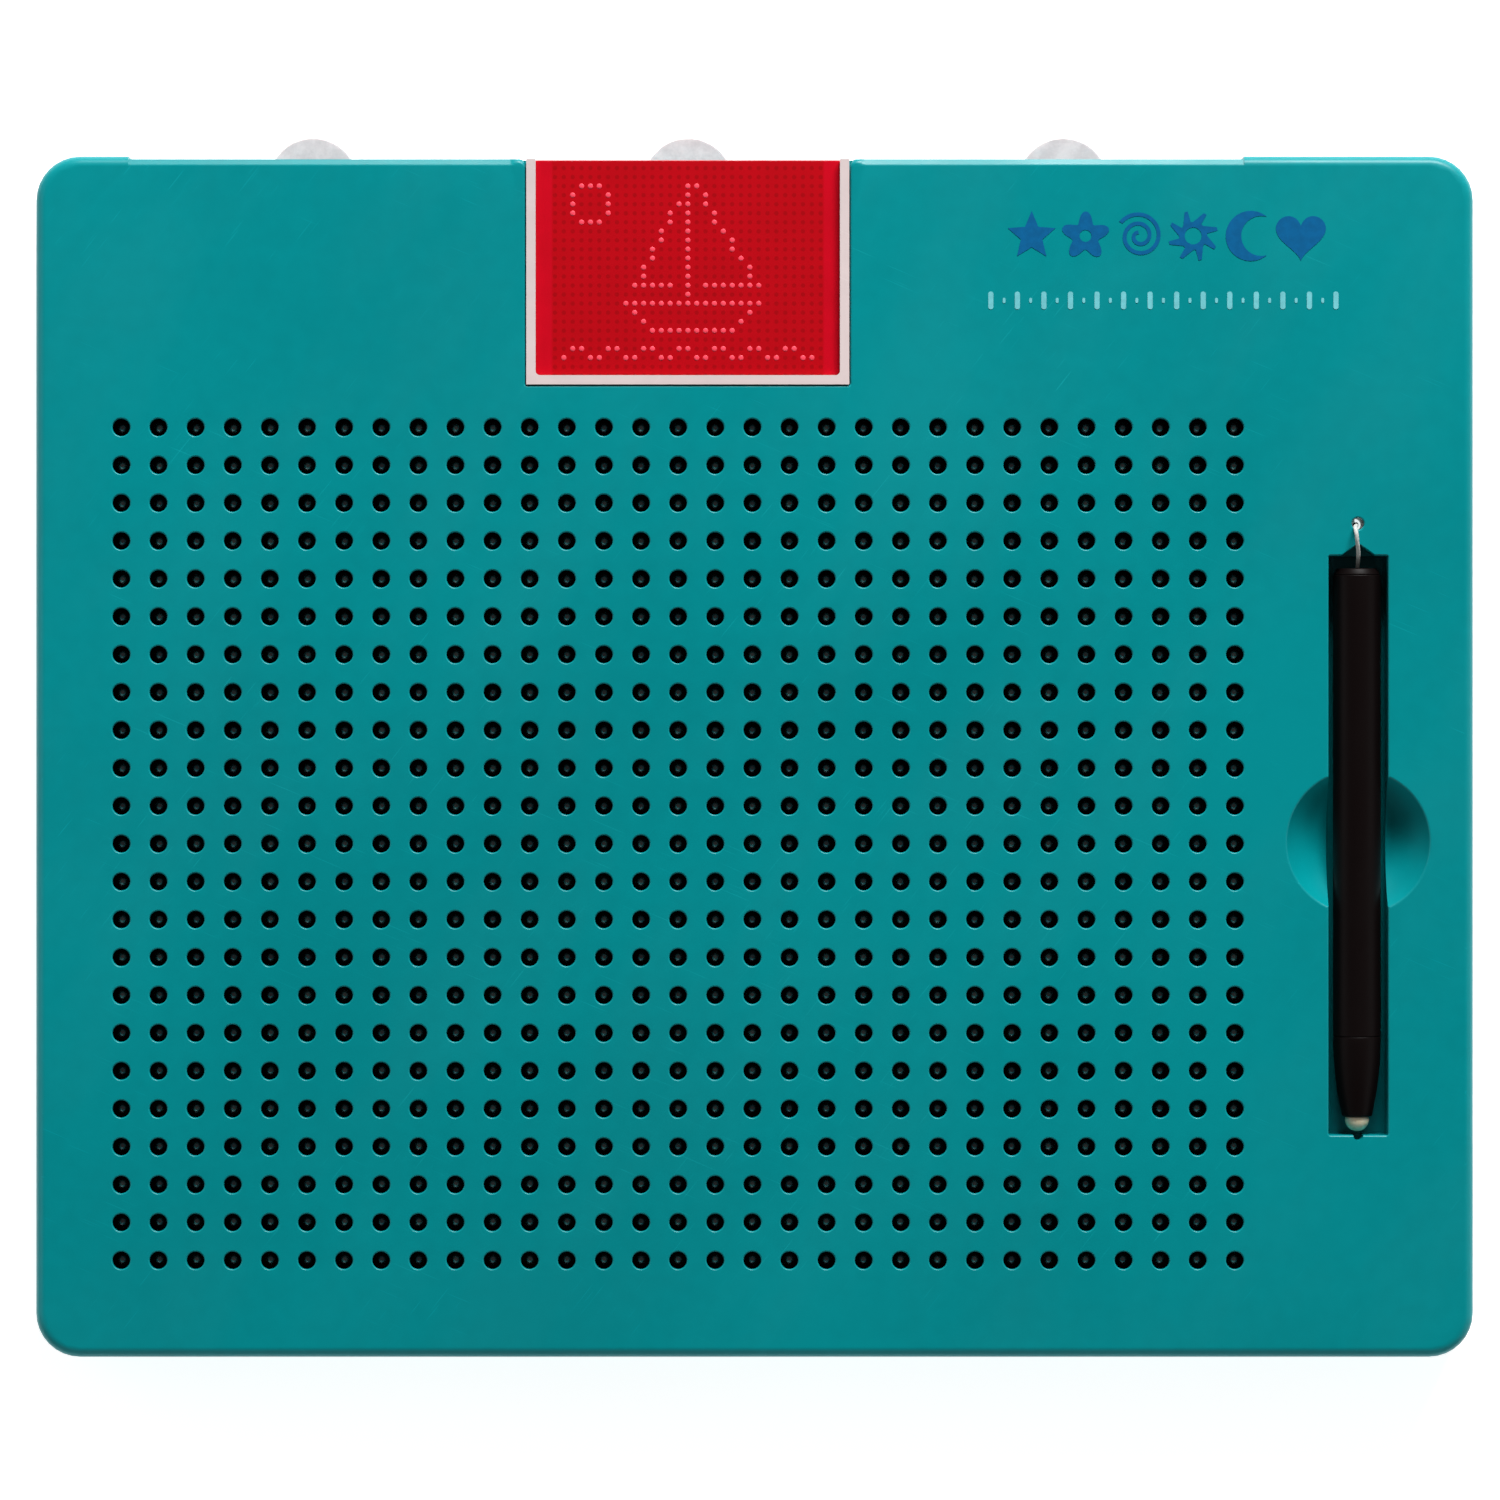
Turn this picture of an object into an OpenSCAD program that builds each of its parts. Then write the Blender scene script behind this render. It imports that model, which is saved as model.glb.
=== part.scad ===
// Magnetic bead drawing board: a flat case with a grid of steel beads that a
// tethered magnetic stylus lifts to the face and a fingertip pushes down again.
// It lies face up. X runs across the board, Y up the board and Z out of its face.
// The origin is at the middle of the whole outline, on the surface under the feet.

/* [Case] */
// Width of the board
board_w = 310; // [300:1:340]
// Height of the board from bottom edge to top edge
board_h = 259; // [257:1:280]
// Thickness of the two shells together
case_t = 14; // [14:0.5:18]
// Radius of the four corners
corner_r = 9.5; // [8:0.5:14]
// Rounding of the front edge
front_edge_r = 2.3; // [1:0.1:2.5]
// Rounding of the back edge
back_edge_r = 1.2; // [0.6:0.1:1.6]
// Thickness of the outer walls
wall = 2.4; // [2:0.1:2.6]
// Thickness of the back shell's floor
back_skin = 2.2; // [1.6:0.1:2.6]
// Height of the back shell
back_h = 4.5; // [4.3:0.1:4.8]

/* [Bead field] */
// Holes in each row
columns = 31; // [25:1:31]
// Rows of holes
rows = 23; // [23:1:23]
// Distance between neighbouring holes across the board
pitch_x = 8; // [7.5:0.05:8]
// Distance between neighbouring rows
pitch_y = 8.16; // [7.6:0.02:8.16]
// Diameter of each hole in the face
hole_d = 3.8; // [3.6:0.1:3.8]
// Diameter of each steel bead
bead_d = 4; // [4:0.1:4.1]
// Bore of each bead's cell
cell_d = 4.6; // [4.5:0.1:5]
// Bore in the soft sheet that holds a raised bead
retainer_d = 4.3; // [4.2:0.1:4.5]
// Thickness of the face over the beads
field_skin = 1.6; // [1.4:0.1:1.8]
// Thickness of the soft sheet
retainer_t = 1.3; // [1:0.1:1.4]
// Thickness of the cell plate
cell_t = 4.5; // [4.2:0.1:4.6]
// Thickness of the sheet under the cells
floor_t = 0.6; // [0.4:0.1:0.8]

/* [Picture card] */
// Width of the white holder
frame_w = 69.6; // [60:0.2:72]
// Height of the white holder
frame_h = 48.6; // [44:0.2:50]
// Width of the holder's visible rim
frame_rim = 2; // [1.6:0.1:3]
// Thickness of the card
card_t = 1.3; // [1:0.1:1.4]

/* [Stylus and tray] */
// Diameter of the stylus
stylus_d = 10.3; // [9.5:0.1:11]
// Length of the stylus with its nib
stylus_l = 121.5; // [110:0.5:121.5]
// Width of the tray
tray_w = 12.8; // [12.4:0.1:13.2]
// Depth of the tray
tray_depth = 9.5; // [9:0.1:9.6]
// Radius of the finger recess
dish_r = 15.5; // [13:0.1:16]
// Depth of the finger recess
dish_depth = 8.5; // [7:0.1:8.6]
// Diameter of the tether cord
cord_d = 0.9; // [0.8:0.1:1]

/* [Feet] */
// Diameter of each foot and bumper
foot_d = 19.6; // [16:0.1:19.6]
// Height of each foot
foot_h = 2.5; // [2:0.1:3]
// How far the three bumpers stand out past the top edge
bumper_proud = 5; // [3:0.1:5.2]

/* [Hidden] */
$fn = 48;
fine = 0.01;
gap = 0.3;

// the bumpers lengthen the outline upwards, so the board's own middle is below the origin
mid_y = -bumper_proud / 2;
top_y = mid_y + board_h / 2;

// a long shallow step in the top edge
step_x = -135;
step_w = 240.5;
step_d = 0.7;

// heights
case_z = foot_h;
part_z = case_z + back_h;
face_z = case_z + case_t;
inner_z = face_z - wall;
field_z = face_z - field_skin;
cell_z = field_z - retainer_t - cell_t;
floor_z = cell_z - floor_t;
back_z = case_z + back_skin;

// bead field
field_x = -16.5;
field_y = mid_y - 18.8;
field_w = (columns - 1) * pitch_x;
field_h = (rows - 1) * pitch_y;
plate_margin = 6;
bead_rest = 0.15;
bead_z = cell_z + bead_rest + bead_d / 2;
seat_d = 4.2;
seat_h = 0.8;

// picture card holder, open at the board's top edge
frame_x = -14.4;
frame_top = top_y - 0.7;
frame_y = frame_top - frame_h;
frame_z = face_z - 4.5;
frame_stand = 0.2;
frame_slot_z = frame_z + 1.4;
frame_wall = 1.2;
card_w = frame_w - 2 * frame_wall - 0.4;
card_z = frame_slot_z + gap;
pocket_wall = 1.6;
pocket_gap = 0.2;

// stylus tray, with the stylus lying on its floor
tray_x = 130.1;
tray_top = mid_y + 43.3;
tray_end = mid_y - 81.6;
tray_floor = face_z - tray_depth;
tray_wall = 1.5;
tray_corner = 2;
notch_depth = 6;
notch_peak = 2.3;
notch_w = 7.4;
notch_back = 1.3;
stylus_z = tray_floor + gap + stylus_d / 2;
stylus_top = mid_y + 40.6;
dish_y = mid_y - 18.4;
dish_ball = (dish_r * dish_r + dish_depth * dish_depth) / (2 * dish_depth);

// stylus pieces, measured from its top end towards its nib
plug_cap = 1.4;
plug_spigot = 6;
nose_from = 101;
nib_r = 2.6;
nib_from = stylus_l - nib_r;
stylus_bore = 7.8;
cord_bore = 1.6;

// tether cord: an eyelet through the board, and a pocket in the back for the slack
eyelet_x = 130;
eyelet_y = mid_y + 50.2;
eyelet_d = 2.6;
coil_turns = 4;
coil_in = 3.6;
coil_out = coil_in + coil_turns * cord_d;
coil_x = eyelet_x + coil_out;
coil_y = mid_y + 65;
cord_hole_z = 6.3;
knot_r = 1.45;
stow_w = 24;
stow_h = 28;
stow_x = 137;
stow_y = mid_y + 62.5;
stow_z = 7.4;
stow_wall = 1.5;

// the cord's route from its anchor hole to the coil, and from the coil to the stylus,
// each point as x, y above the board's middle, z
anchor_route = [
    [coil_x + coil_out, 47, 6.3], [coil_x + coil_out, 50, 6.3], [coil_x + coil_out, 53, 5.4],
    [coil_x + coil_out, 56, 3.4], [coil_x + coil_out, 59, 1.7], [coil_x + coil_out, 62, 0.8],
    [coil_x + coil_out, 65, 0.45]
];
rise_route = [
    [130, 65, 1.35], [130, 61, 1.4], [130, 57, 1.5], [130, 54, 1.6], [130, 52.2, 1.9],
    [130, 50.9, 2.7], [130, 50.3, 4], [130, 50.2, 6], [130, 50.2, 9], [130, 50.2, 12],
    [130, 50.2, 15], [129.8, 50, 16.9], [129.5, 49.3, 18.2], [129.5, 47.9, 18.9],
    [129.7, 46.2, 18.5], [130, 44.4, 17.2], [130.2, 42.8, 14.7], [130.2, 41.2, stylus_z + 0.5],
    [130.1, 39.6, stylus_z], [130.1, 37, stylus_z], [130.1, 33.4, stylus_z]
];

// screws sit in the margin between the bead field and the walls
screw_x = 147.5;
screw_y = 122;
screw_inner_x = 80;
screw_side_y = 12;
screw_places = [
    for (x = [-screw_x, screw_x], y = [-screw_y, screw_side_y, screw_y]) [x, mid_y + y],
    for (x = [-screw_inner_x, screw_inner_x], y = [-screw_y, screw_y]) [x, mid_y + y]
];
screw_d = 2.5;
screw_l = 9;
head_d = 5.4;
head_h = 1.6;
post_d = 6.6;

// feet under the corners, and bumpers spaced along the top edge
foot_x = 128;
foot_low_y = mid_y - 107;
foot_high_y = mid_y + 97;
bumper_step = 81.5;
bumper_y = top_y + bumper_proud - foot_d / 2;

// ---- shared shapes ----

// a rectangle about the middle, with round corners
module round_rect(w, h, r) {
    square([w - 2 * r, h], center = true);
    square([w, h - 2 * r], center = true);
    for (x = [-1, 1], y = [-1, 1])
        translate([x * (w / 2 - r), y * (h / 2 - r)]) circle(r);
}

// half of an edge's cross-section, from the slab's middle line out to its rounded rim
module rim_section(reach, t, r) {
    square([reach, t - r]);
    square([reach - r, t]);
    translate([reach - r, t - r]) circle(r);
}

// a whole cross-section of a slab, with both top edges rounded
module slab_section(w, t, r) {
    rim_section(w / 2, t, r);
    mirror([1, 0]) rim_section(w / 2, t, r);
}

// a slab with round corners in plan and a rounded top edge
module soft_slab(w, h, corner, t, r) {
    rotate([90, 0, 0])
        linear_extrude(h - 2 * corner, center = true) slab_section(w, t, r);
    rotate([90, 0, 90])
        linear_extrude(w - 2 * corner, center = true) slab_section(h, t, r);
    for (x = [-1, 1], y = [-1, 1])
        translate([x * (w / 2 - corner), y * (h / 2 - corner), 0])
            rotate_extrude() intersection() {
                rim_section(corner, t, r);
                square([corner, t]);
            }
}

// its children at every hole of one row, or of every row
module along_row(row) {
    for (column = [0 : columns - 1])
        translate([field_x + (column - (columns - 1) / 2) * pitch_x,
                   field_y + (row - (rows - 1) / 2) * pitch_y, 0])
            children();
}

module at_every_hole() {
    for (row = [0 : rows - 1]) along_row(row) children();
}

// a flat plate behind the whole bead field, drilled under every hole
module field_plate(z, t, d) {
    difference() {
        translate([field_x, field_y, z])
            linear_extrude(t)
                round_rect(field_w + 2 * plate_margin, field_h + 2 * plate_margin, 2);
        at_every_hole() translate([0, 0, z - 1]) cylinder(h = t + 2, d = d, $fn = 24);
    }
}

// a cylinder along the stylus, from one distance from its top end to another
module along_stylus(from, to, d1, d2) {
    translate([tray_x, stylus_top - from, stylus_z])
        rotate([90, 0, 0]) cylinder(h = to - from, d1 = d1, d2 = d2);
}

// the tray's hollow, grown by skin all round
module tray_hollow(skin) {
    translate([tray_x, tray_top + skin, tray_floor - skin + case_t / 2])
        rotate([90, 0, 0]) linear_extrude(tray_top - tray_end + 2 * skin)
            round_rect(tray_w + 2 * skin, case_t, tray_corner + skin);
}

// the ball that scoops out the finger recess, grown by skin
module dish_ball(skin) {
    translate([tray_x, dish_y, face_z - dish_depth + dish_ball])
        sphere(dish_ball + skin, $fn = 96);
}

// one node of a tube: a ring of points about a place, square to a direction
function unit(v) = v / norm(v);
function ring(place, way, r, sides) =
    let (side = unit(cross(way, abs(way.x) > 0.8 ? [0, 1, 0] : [1, 0, 0])), up = cross(side, way))
    [for (i = [0 : sides - 1]) place + r * (cos(360 * i / sides) * side + sin(360 * i / sides) * up)];

// a closed tube along a route, with one ring at each of its points
module tube(route, d, sides = 8) {
    last = len(route) - 1;
    points = [for (i = [0 : last])
        let (way = unit(route[min(i + 1, last)] - route[max(i - 1, 0)]))
        each ring(route[i], way, d / 2, sides)];
    skin = [for (i = [0 : last - 1], s = [0 : sides - 1])
        let (t = (s + 1) % sides)
        each [[i * sides + s, i * sides + t, (i + 1) * sides + t],
              [i * sides + s, (i + 1) * sides + t, (i + 1) * sides + s]]];
    ends = [[for (s = [sides - 1 : -1 : 0]) s], [for (s = [0 : sides - 1]) last * sides + s]];
    polyhedron(points, concat(skin, ends));
}

function on_board(route) = [for (p = route) [p.x, mid_y + p.y, p.z]];

// ---- case ----

// the front shell's outside, with nothing cut out of it
module front_blank() {
    translate([0, mid_y, part_z])
        soft_slab(board_w, board_h, corner_r, face_z - part_z, front_edge_r);
}

// the step cut into both shells along the top edge
module top_step() {
    translate([step_x, top_y - step_d, 0]) cube([step_w, 2 * step_d, face_z + 1]);
}

// the space inside the front shell
module front_hollow() {
    translate([0, mid_y, part_z - 1]) linear_extrude(inner_z - part_z + 1)
        round_rect(board_w - 2 * wall, board_h - 2 * wall, corner_r - wall);
    translate([field_x, field_y, inner_z - fine]) linear_extrude(field_z - inner_z + fine)
        round_rect(field_w + 2 * plate_margin + 0.8, field_h + 2 * plate_margin + 0.8, 2.4);
}

// walls that stand in the hollow: tray, recess, card pocket, screw posts and cord guide
module front_inner_walls() {
    tray_hollow(tray_wall);
    dish_ball(tray_wall);
    translate([tray_x - notch_w / 2 - tray_wall, tray_top, face_z - notch_depth - tray_wall])
        cube([notch_w + 2 * tray_wall, notch_peak + notch_back, case_t]);
    translate([frame_x - frame_w / 2 - pocket_gap - pocket_wall,
               frame_y - pocket_gap - pocket_wall, frame_z - pocket_wall])
        cube([frame_w + 2 * pocket_gap + 2 * pocket_wall, board_h, case_t]);
    for (place = screw_places)
        translate([place.x, place.y, part_z + 0.1]) cylinder(h = case_t, d = post_d);
    translate([eyelet_x, eyelet_y, stow_z + pocket_wall + 0.1])
        cylinder(h = case_t, d = eyelet_d + 3);
}

module front_cover() {
    color([0, 0.56, 0.58]) difference() {
        union() {
            difference() {
                front_blank();
                front_hollow();
            }
            intersection() {
                translate([0, mid_y, tray_floor - tray_wall])
                    linear_extrude(inner_z - tray_floor + tray_wall + 0.5)
                        round_rect(board_w - wall, board_h - wall, corner_r - wall / 2);
                front_inner_walls();
            }
        }
        at_every_hole() {
            translate([0, 0, field_z - 1]) cylinder(h = field_skin + 2, d = hole_d, $fn = 24);
            translate([0, 0, field_z - fine])
                cylinder(h = seat_h, d1 = seat_d, d2 = hole_d - 0.1, $fn = 24);
        }
        tray_hollow(0);
        dish_ball(0);
        // relief under the nib, and the cord's peaked notch at the tray's top end
        translate([tray_x, tray_end, tray_floor + 3]) cylinder(h = case_t, r = 1.1);
        translate([tray_x, tray_top, face_z - notch_depth]) linear_extrude(case_t)
            polygon([[-notch_w / 2, -1], [-notch_w / 2, 0], [-0.5, notch_peak],
                     [0.5, notch_peak], [notch_w / 2, 0], [notch_w / 2, -1]]);
        translate([frame_x - frame_w / 2 - pocket_gap, frame_y - pocket_gap, frame_z])
            cube([frame_w + 2 * pocket_gap, board_h, case_t]);
        translate([eyelet_x, eyelet_y, part_z]) cylinder(h = case_t, d = eyelet_d);
        for (place = screw_places)
            translate([place.x, place.y, part_z - 1]) cylinder(h = 6.5, d = screw_d + 0.2);
        top_step();
    }
}

// ribs that hold the sandwich of plates up against the face
module back_ribs() {
    rib = 1.6;
    for (i = [0 : 7])
        translate([field_x - field_w / 2 + 8 + i * 32 - rib / 2, field_y - field_h / 2 - 4, back_z - 0.5])
            cube([rib, field_h + 8, floor_z - back_z + 0.5]);
    for (i = [0 : 4])
        translate([field_x - field_w / 2 - 4, field_y - field_h / 2 + 10 + i * 40 - rib / 2, back_z - 0.5])
            cube([field_w + 8, rib, floor_z - back_z + 0.5]);
}

module back_cover() {
    color([0, 0.50, 0.52]) difference() {
        union() {
            difference() {
                translate([0, mid_y, part_z]) mirror([0, 0, 1])
                    soft_slab(board_w, board_h, corner_r, back_h, back_edge_r);
                translate([0, mid_y, back_z]) linear_extrude(back_h)
                    round_rect(board_w - 2 * wall, board_h - 2 * wall, corner_r - wall);
            }
            // tongue that locates the front shell
            translate([0, mid_y, back_z - 0.5]) linear_extrude(part_z + 1.4 - back_z + 0.5)
                difference() {
                    round_rect(board_w - 2 * wall - 0.2, board_h - 2 * wall - 0.2, corner_r - wall);
                    round_rect(board_w - 2 * wall - 2.2, board_h - 2 * wall - 2.2, corner_r - wall - 1);
                }
            back_ribs();
            for (place = screw_places)
                translate([place.x, place.y, back_z - 0.5])
                    cylinder(h = part_z - back_z + 0.5, d = post_d);
            translate([stow_x, stow_y, back_z - 0.5]) linear_extrude(stow_z + stow_wall - back_z + 0.5)
                round_rect(stow_w + 2 * stow_wall, stow_h + 2 * stow_wall, 3);
        }
        for (place = screw_places) translate([place.x, place.y, 0]) {
            cylinder(h = case_z + head_h + 0.6, d = head_d + 0.6);
            cylinder(h = face_z, d = screw_d + 0.4);
        }
        translate([stow_x, stow_y, 0]) linear_extrude(stow_z) round_rect(stow_w, stow_h, 1.5);
        translate([eyelet_x, eyelet_y, 0]) cylinder(h = face_z, d = eyelet_d);
        translate([coil_x + coil_out, stow_y - stow_h / 2 + 1, cord_hole_z])
            rotate([90, 0, 0]) cylinder(h = 4, d = cord_bore);
        top_step();
    }
}

module retainer_sheet() {
    color([0.15, 0.15, 0.16]) field_plate(field_z - retainer_t, retainer_t, retainer_d);
}

module cell_plate() {
    color([0.08, 0.08, 0.08]) field_plate(cell_z, cell_t, cell_d);
}

module floor_sheet() {
    color([0.2, 0.2, 0.2]) translate([field_x, field_y, floor_z]) linear_extrude(floor_t)
        round_rect(field_w + 2 * plate_margin, field_h + 2 * plate_margin, 2);
}

// one row of beads, numbered from the bottom of the board
module bead_row(row) {
    color([0.75, 0.76, 0.78]) along_row(row) translate([0, 0, bead_z]) sphere(d = bead_d);
}

// ---- picture card ----

module card_frame() {
    slot_w = frame_w - 2 * frame_wall;
    view_w = frame_w - 2 * frame_rim;
    color([0.93, 0.92, 0.92]) difference() {
        translate([frame_x - frame_w / 2, frame_y, frame_z])
            cube([frame_w, frame_h, face_z + frame_stand - frame_z]);
        translate([frame_x - slot_w / 2, frame_y + frame_wall, frame_slot_z])
            cube([slot_w, frame_h, card_t + 2 * gap]);
        translate([frame_x, frame_y + frame_rim + frame_h / 2 + 2, frame_slot_z])
            linear_extrude(case_t) round_rect(view_w, frame_h + 4, 1);
    }
}

module picture_card() {
    h = frame_h - frame_wall - 0.6;
    color([0.75, 0.02, 0.08])
        translate([frame_x, frame_top - 0.2 - h / 2, card_z]) linear_extrude(card_t)
            round_rect(card_w, h, 1);
}

// ---- stylus ----

module stylus_barrel() {
    color([0.08, 0.05, 0.05]) difference() {
        along_stylus(plug_cap, nose_from, stylus_d, stylus_d);
        along_stylus(plug_cap - 1, nose_from + 1, stylus_bore, stylus_bore);
    }
}

module stylus_end_plug() {
    color([0.08, 0.05, 0.05]) difference() {
        union() {
            along_stylus(0, plug_cap, stylus_d - 1.4, stylus_d);
            along_stylus(plug_cap - fine, plug_cap + plug_spigot, stylus_bore - 0.1, stylus_bore - 0.1);
        }
        along_stylus(-1, plug_cap + plug_spigot + 1, cord_bore, cord_bore);
    }
}

// the tapered nose, turned about the stylus's own line
module stylus_nose() {
    r = stylus_d / 2;
    tip_r = 3.2;
    taper_l = nib_from - 0.6 - nose_from;
    bow = (taper_l * taper_l + (r - tip_r) * (r - tip_r)) / (2 * (r - tip_r));
    color([0.08, 0.05, 0.05]) difference() {
        union() {
            translate([tray_x, stylus_top - nose_from, stylus_z])
                rotate([90, 0, 0]) rotate_extrude() intersection() {
                    translate([r - bow, 0]) circle(bow, $fn = 200);
                    square([r, taper_l]);
                }
            along_stylus(nose_from - 6, nose_from + fine, stylus_bore - 0.1, stylus_bore - 0.1);
        }
        along_stylus(nib_from - 5, stylus_l, 2 * 2.1, 2 * 2.1);
        along_stylus(nose_from - 7, nib_from - 5 + fine, 4.6, 4.6);
    }
}

// a domed tip with a spigot that sits in the nose
module stylus_nib() {
    color([0.93, 0.90, 0.82]) {
        intersection() {
            translate([tray_x, stylus_top - nib_from, stylus_z]) sphere(nib_r);
            along_stylus(nib_from - 0.5, stylus_l + 1, 3 * nib_r, 3 * nib_r);
        }
        along_stylus(nib_from - 4.8, nib_from, 4.1, 4.1);
    }
}

module stylus_magnet() {
    color([0.6, 0.6, 0.62]) along_stylus(nib_from - 13, nib_from - 5, 4.5, 4.5);
}

module stylus_knot() {
    color([0.92, 0.91, 0.88])
        translate([tray_x, stylus_top - plug_cap - plug_spigot - knot_r, stylus_z]) sphere(knot_r);
}

// ---- tether ----

module tether_cord() {
    color([0.92, 0.91, 0.88]) {
        tube(on_board(anchor_route), cord_d);
        tube(on_board(rise_route), cord_d);
    }
}

// the outer shape of the stowed coil, two layers of turns on the surface under the board
module tether_coil() {
    color([0.92, 0.91, 0.88]) translate([coil_x, coil_y, 0]) rotate_extrude()
        translate([coil_in - cord_d / 2, 0])
            square([coil_out - coil_in + cord_d, 2 * cord_d]);
}

module tether_knot() {
    color([0.92, 0.91, 0.88])
        translate([coil_x + coil_out, stow_y - stow_h / 2 - stow_wall - knot_r, cord_hole_z])
            sphere(knot_r);
}

// ---- fasteners and feet ----

module case_screws() {
    color([0.7, 0.7, 0.72]) for (place = screw_places)
        translate([place.x, place.y, case_z + 0.6]) difference() {
            union() {
                cylinder(h = head_h, d = head_d);
                cylinder(h = screw_l, d = screw_d);
            }
            // cross recess
            for (turn = [0, 90]) rotate(turn)
                translate([-1.5, -0.35, -1]) cube([3, 0.7, 1.9]);
        }
}

module foot() {
    cylinder(h = foot_h, d = foot_d);
}

module corner_feet() {
    color([0.82, 0.80, 0.81])
        for (x = [-foot_x, foot_x], y = [foot_low_y, foot_high_y]) translate([x, y, 0]) foot();
}

module bumper(step) {
    color([0.82, 0.80, 0.81])
        translate([frame_x + step * bumper_step, bumper_y, 0]) foot();
}

front_cover();
back_cover();
retainer_sheet();
cell_plate();
floor_sheet();
bead_row(0);  // bead_row_01
bead_row(1);  // bead_row_02
bead_row(2);  // bead_row_03
bead_row(3);  // bead_row_04
bead_row(4);  // bead_row_05
bead_row(5);  // bead_row_06
bead_row(6);  // bead_row_07
bead_row(7);  // bead_row_08
bead_row(8);  // bead_row_09
bead_row(9);  // bead_row_10
bead_row(10);  // bead_row_11
bead_row(11);  // bead_row_12
bead_row(12);  // bead_row_13
bead_row(13);  // bead_row_14
bead_row(14);  // bead_row_15
bead_row(15);  // bead_row_16
bead_row(16);  // bead_row_17
bead_row(17);  // bead_row_18
bead_row(18);  // bead_row_19
bead_row(19);  // bead_row_20
bead_row(20);  // bead_row_21
bead_row(21);  // bead_row_22
bead_row(22);  // bead_row_23
card_frame();
picture_card();
stylus_barrel();
stylus_end_plug();
stylus_nose();
stylus_nib();
stylus_magnet();
stylus_knot();
tether_cord();
tether_coil();
tether_knot();
case_screws();
corner_feet();
bumper(-1);  // bumper_left
bumper(0);  // bumper_middle
bumper(1);  // bumper_right
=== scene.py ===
# %% [markdown]
# # A magnetic bead drawing board
# A flat teal case holds 713 steel beads, one behind each round hole. A magnet in the stylus lifts
# the beads to the face to draw, and a fingertip pushes them down again. This notebook dresses the
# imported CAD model: the frame gives every size and place, and Blender adds the moulded edges, the
# twisted cord, the printed marks and the finishes.

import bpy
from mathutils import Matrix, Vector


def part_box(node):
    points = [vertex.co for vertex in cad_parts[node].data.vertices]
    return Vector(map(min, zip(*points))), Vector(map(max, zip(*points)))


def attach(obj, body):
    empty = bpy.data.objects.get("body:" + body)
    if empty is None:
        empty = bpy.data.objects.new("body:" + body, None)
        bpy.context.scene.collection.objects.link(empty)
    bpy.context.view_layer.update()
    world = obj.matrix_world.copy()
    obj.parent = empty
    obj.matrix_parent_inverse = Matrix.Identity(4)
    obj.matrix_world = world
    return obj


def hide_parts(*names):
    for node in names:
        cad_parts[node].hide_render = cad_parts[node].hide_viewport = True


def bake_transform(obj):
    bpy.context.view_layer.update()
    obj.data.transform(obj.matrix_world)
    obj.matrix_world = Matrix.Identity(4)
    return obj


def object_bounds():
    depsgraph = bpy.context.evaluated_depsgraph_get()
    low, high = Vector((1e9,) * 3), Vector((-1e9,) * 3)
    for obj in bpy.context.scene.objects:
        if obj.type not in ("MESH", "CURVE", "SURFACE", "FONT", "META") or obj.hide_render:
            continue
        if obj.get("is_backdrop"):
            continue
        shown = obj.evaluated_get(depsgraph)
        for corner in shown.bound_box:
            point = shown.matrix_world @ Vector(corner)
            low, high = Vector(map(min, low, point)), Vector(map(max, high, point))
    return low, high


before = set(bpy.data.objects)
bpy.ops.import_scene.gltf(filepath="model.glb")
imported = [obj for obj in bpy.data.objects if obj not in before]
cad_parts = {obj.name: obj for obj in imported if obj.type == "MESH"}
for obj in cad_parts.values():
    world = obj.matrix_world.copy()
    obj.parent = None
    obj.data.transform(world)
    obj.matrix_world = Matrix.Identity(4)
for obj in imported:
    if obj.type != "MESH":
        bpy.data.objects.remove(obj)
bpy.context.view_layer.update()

# %% [markdown]
# The frame is in metres, and the object is small, so lengths are written as so many millimetres.
# The first numbers come straight from the CAD nodes: where the face is, where the two shells part,
# and how the holes are spaced, which the bead rows tell exactly.

# %% Units and main sizes
import math

import bmesh
import bpy
import numpy as np
from mathutils import Vector
from mathutils.geometry import delaunay_2d_cdt

mm = 0.001
scene = bpy.context.scene
shell_low, shell_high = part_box("front_cover")
face_z, part_z = shell_high.z, 7 * mm
board_w, board_h = shell_high.x - shell_low.x, shell_high.y - shell_low.y
board_y = (shell_high.y + shell_low.y) / 2

row_low, row_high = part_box("bead_row_01")
last_low, last_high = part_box("bead_row_23")
columns, rows = 31, 23
bead_r = (row_high.z - row_low.z) / 2
first_x, first_y = row_low.x + bead_r, (row_low.y + row_high.y) / 2
pitch_x = (row_high.x - row_low.x - 2 * bead_r) / (columns - 1)
pitch_y = ((last_low.y + last_high.y) / 2 - first_y) / (rows - 1)
print(f"board {board_w / mm:.1f} x {board_h / mm:.1f} mm, face at {face_z / mm:.1f}")
print(f"hole spacing {pitch_x / mm:.2f} x {pitch_y / mm:.2f} mm")

# %% [markdown]
# Shader maths reads best as maths. `Signal` wraps one socket and overloads the operators, so a
# worn patch can be written `1 - mask`. `Finish` is a material in the making: one method adds any
# node from its type, its settings and its socket values, and a few short ones build on it.

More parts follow.
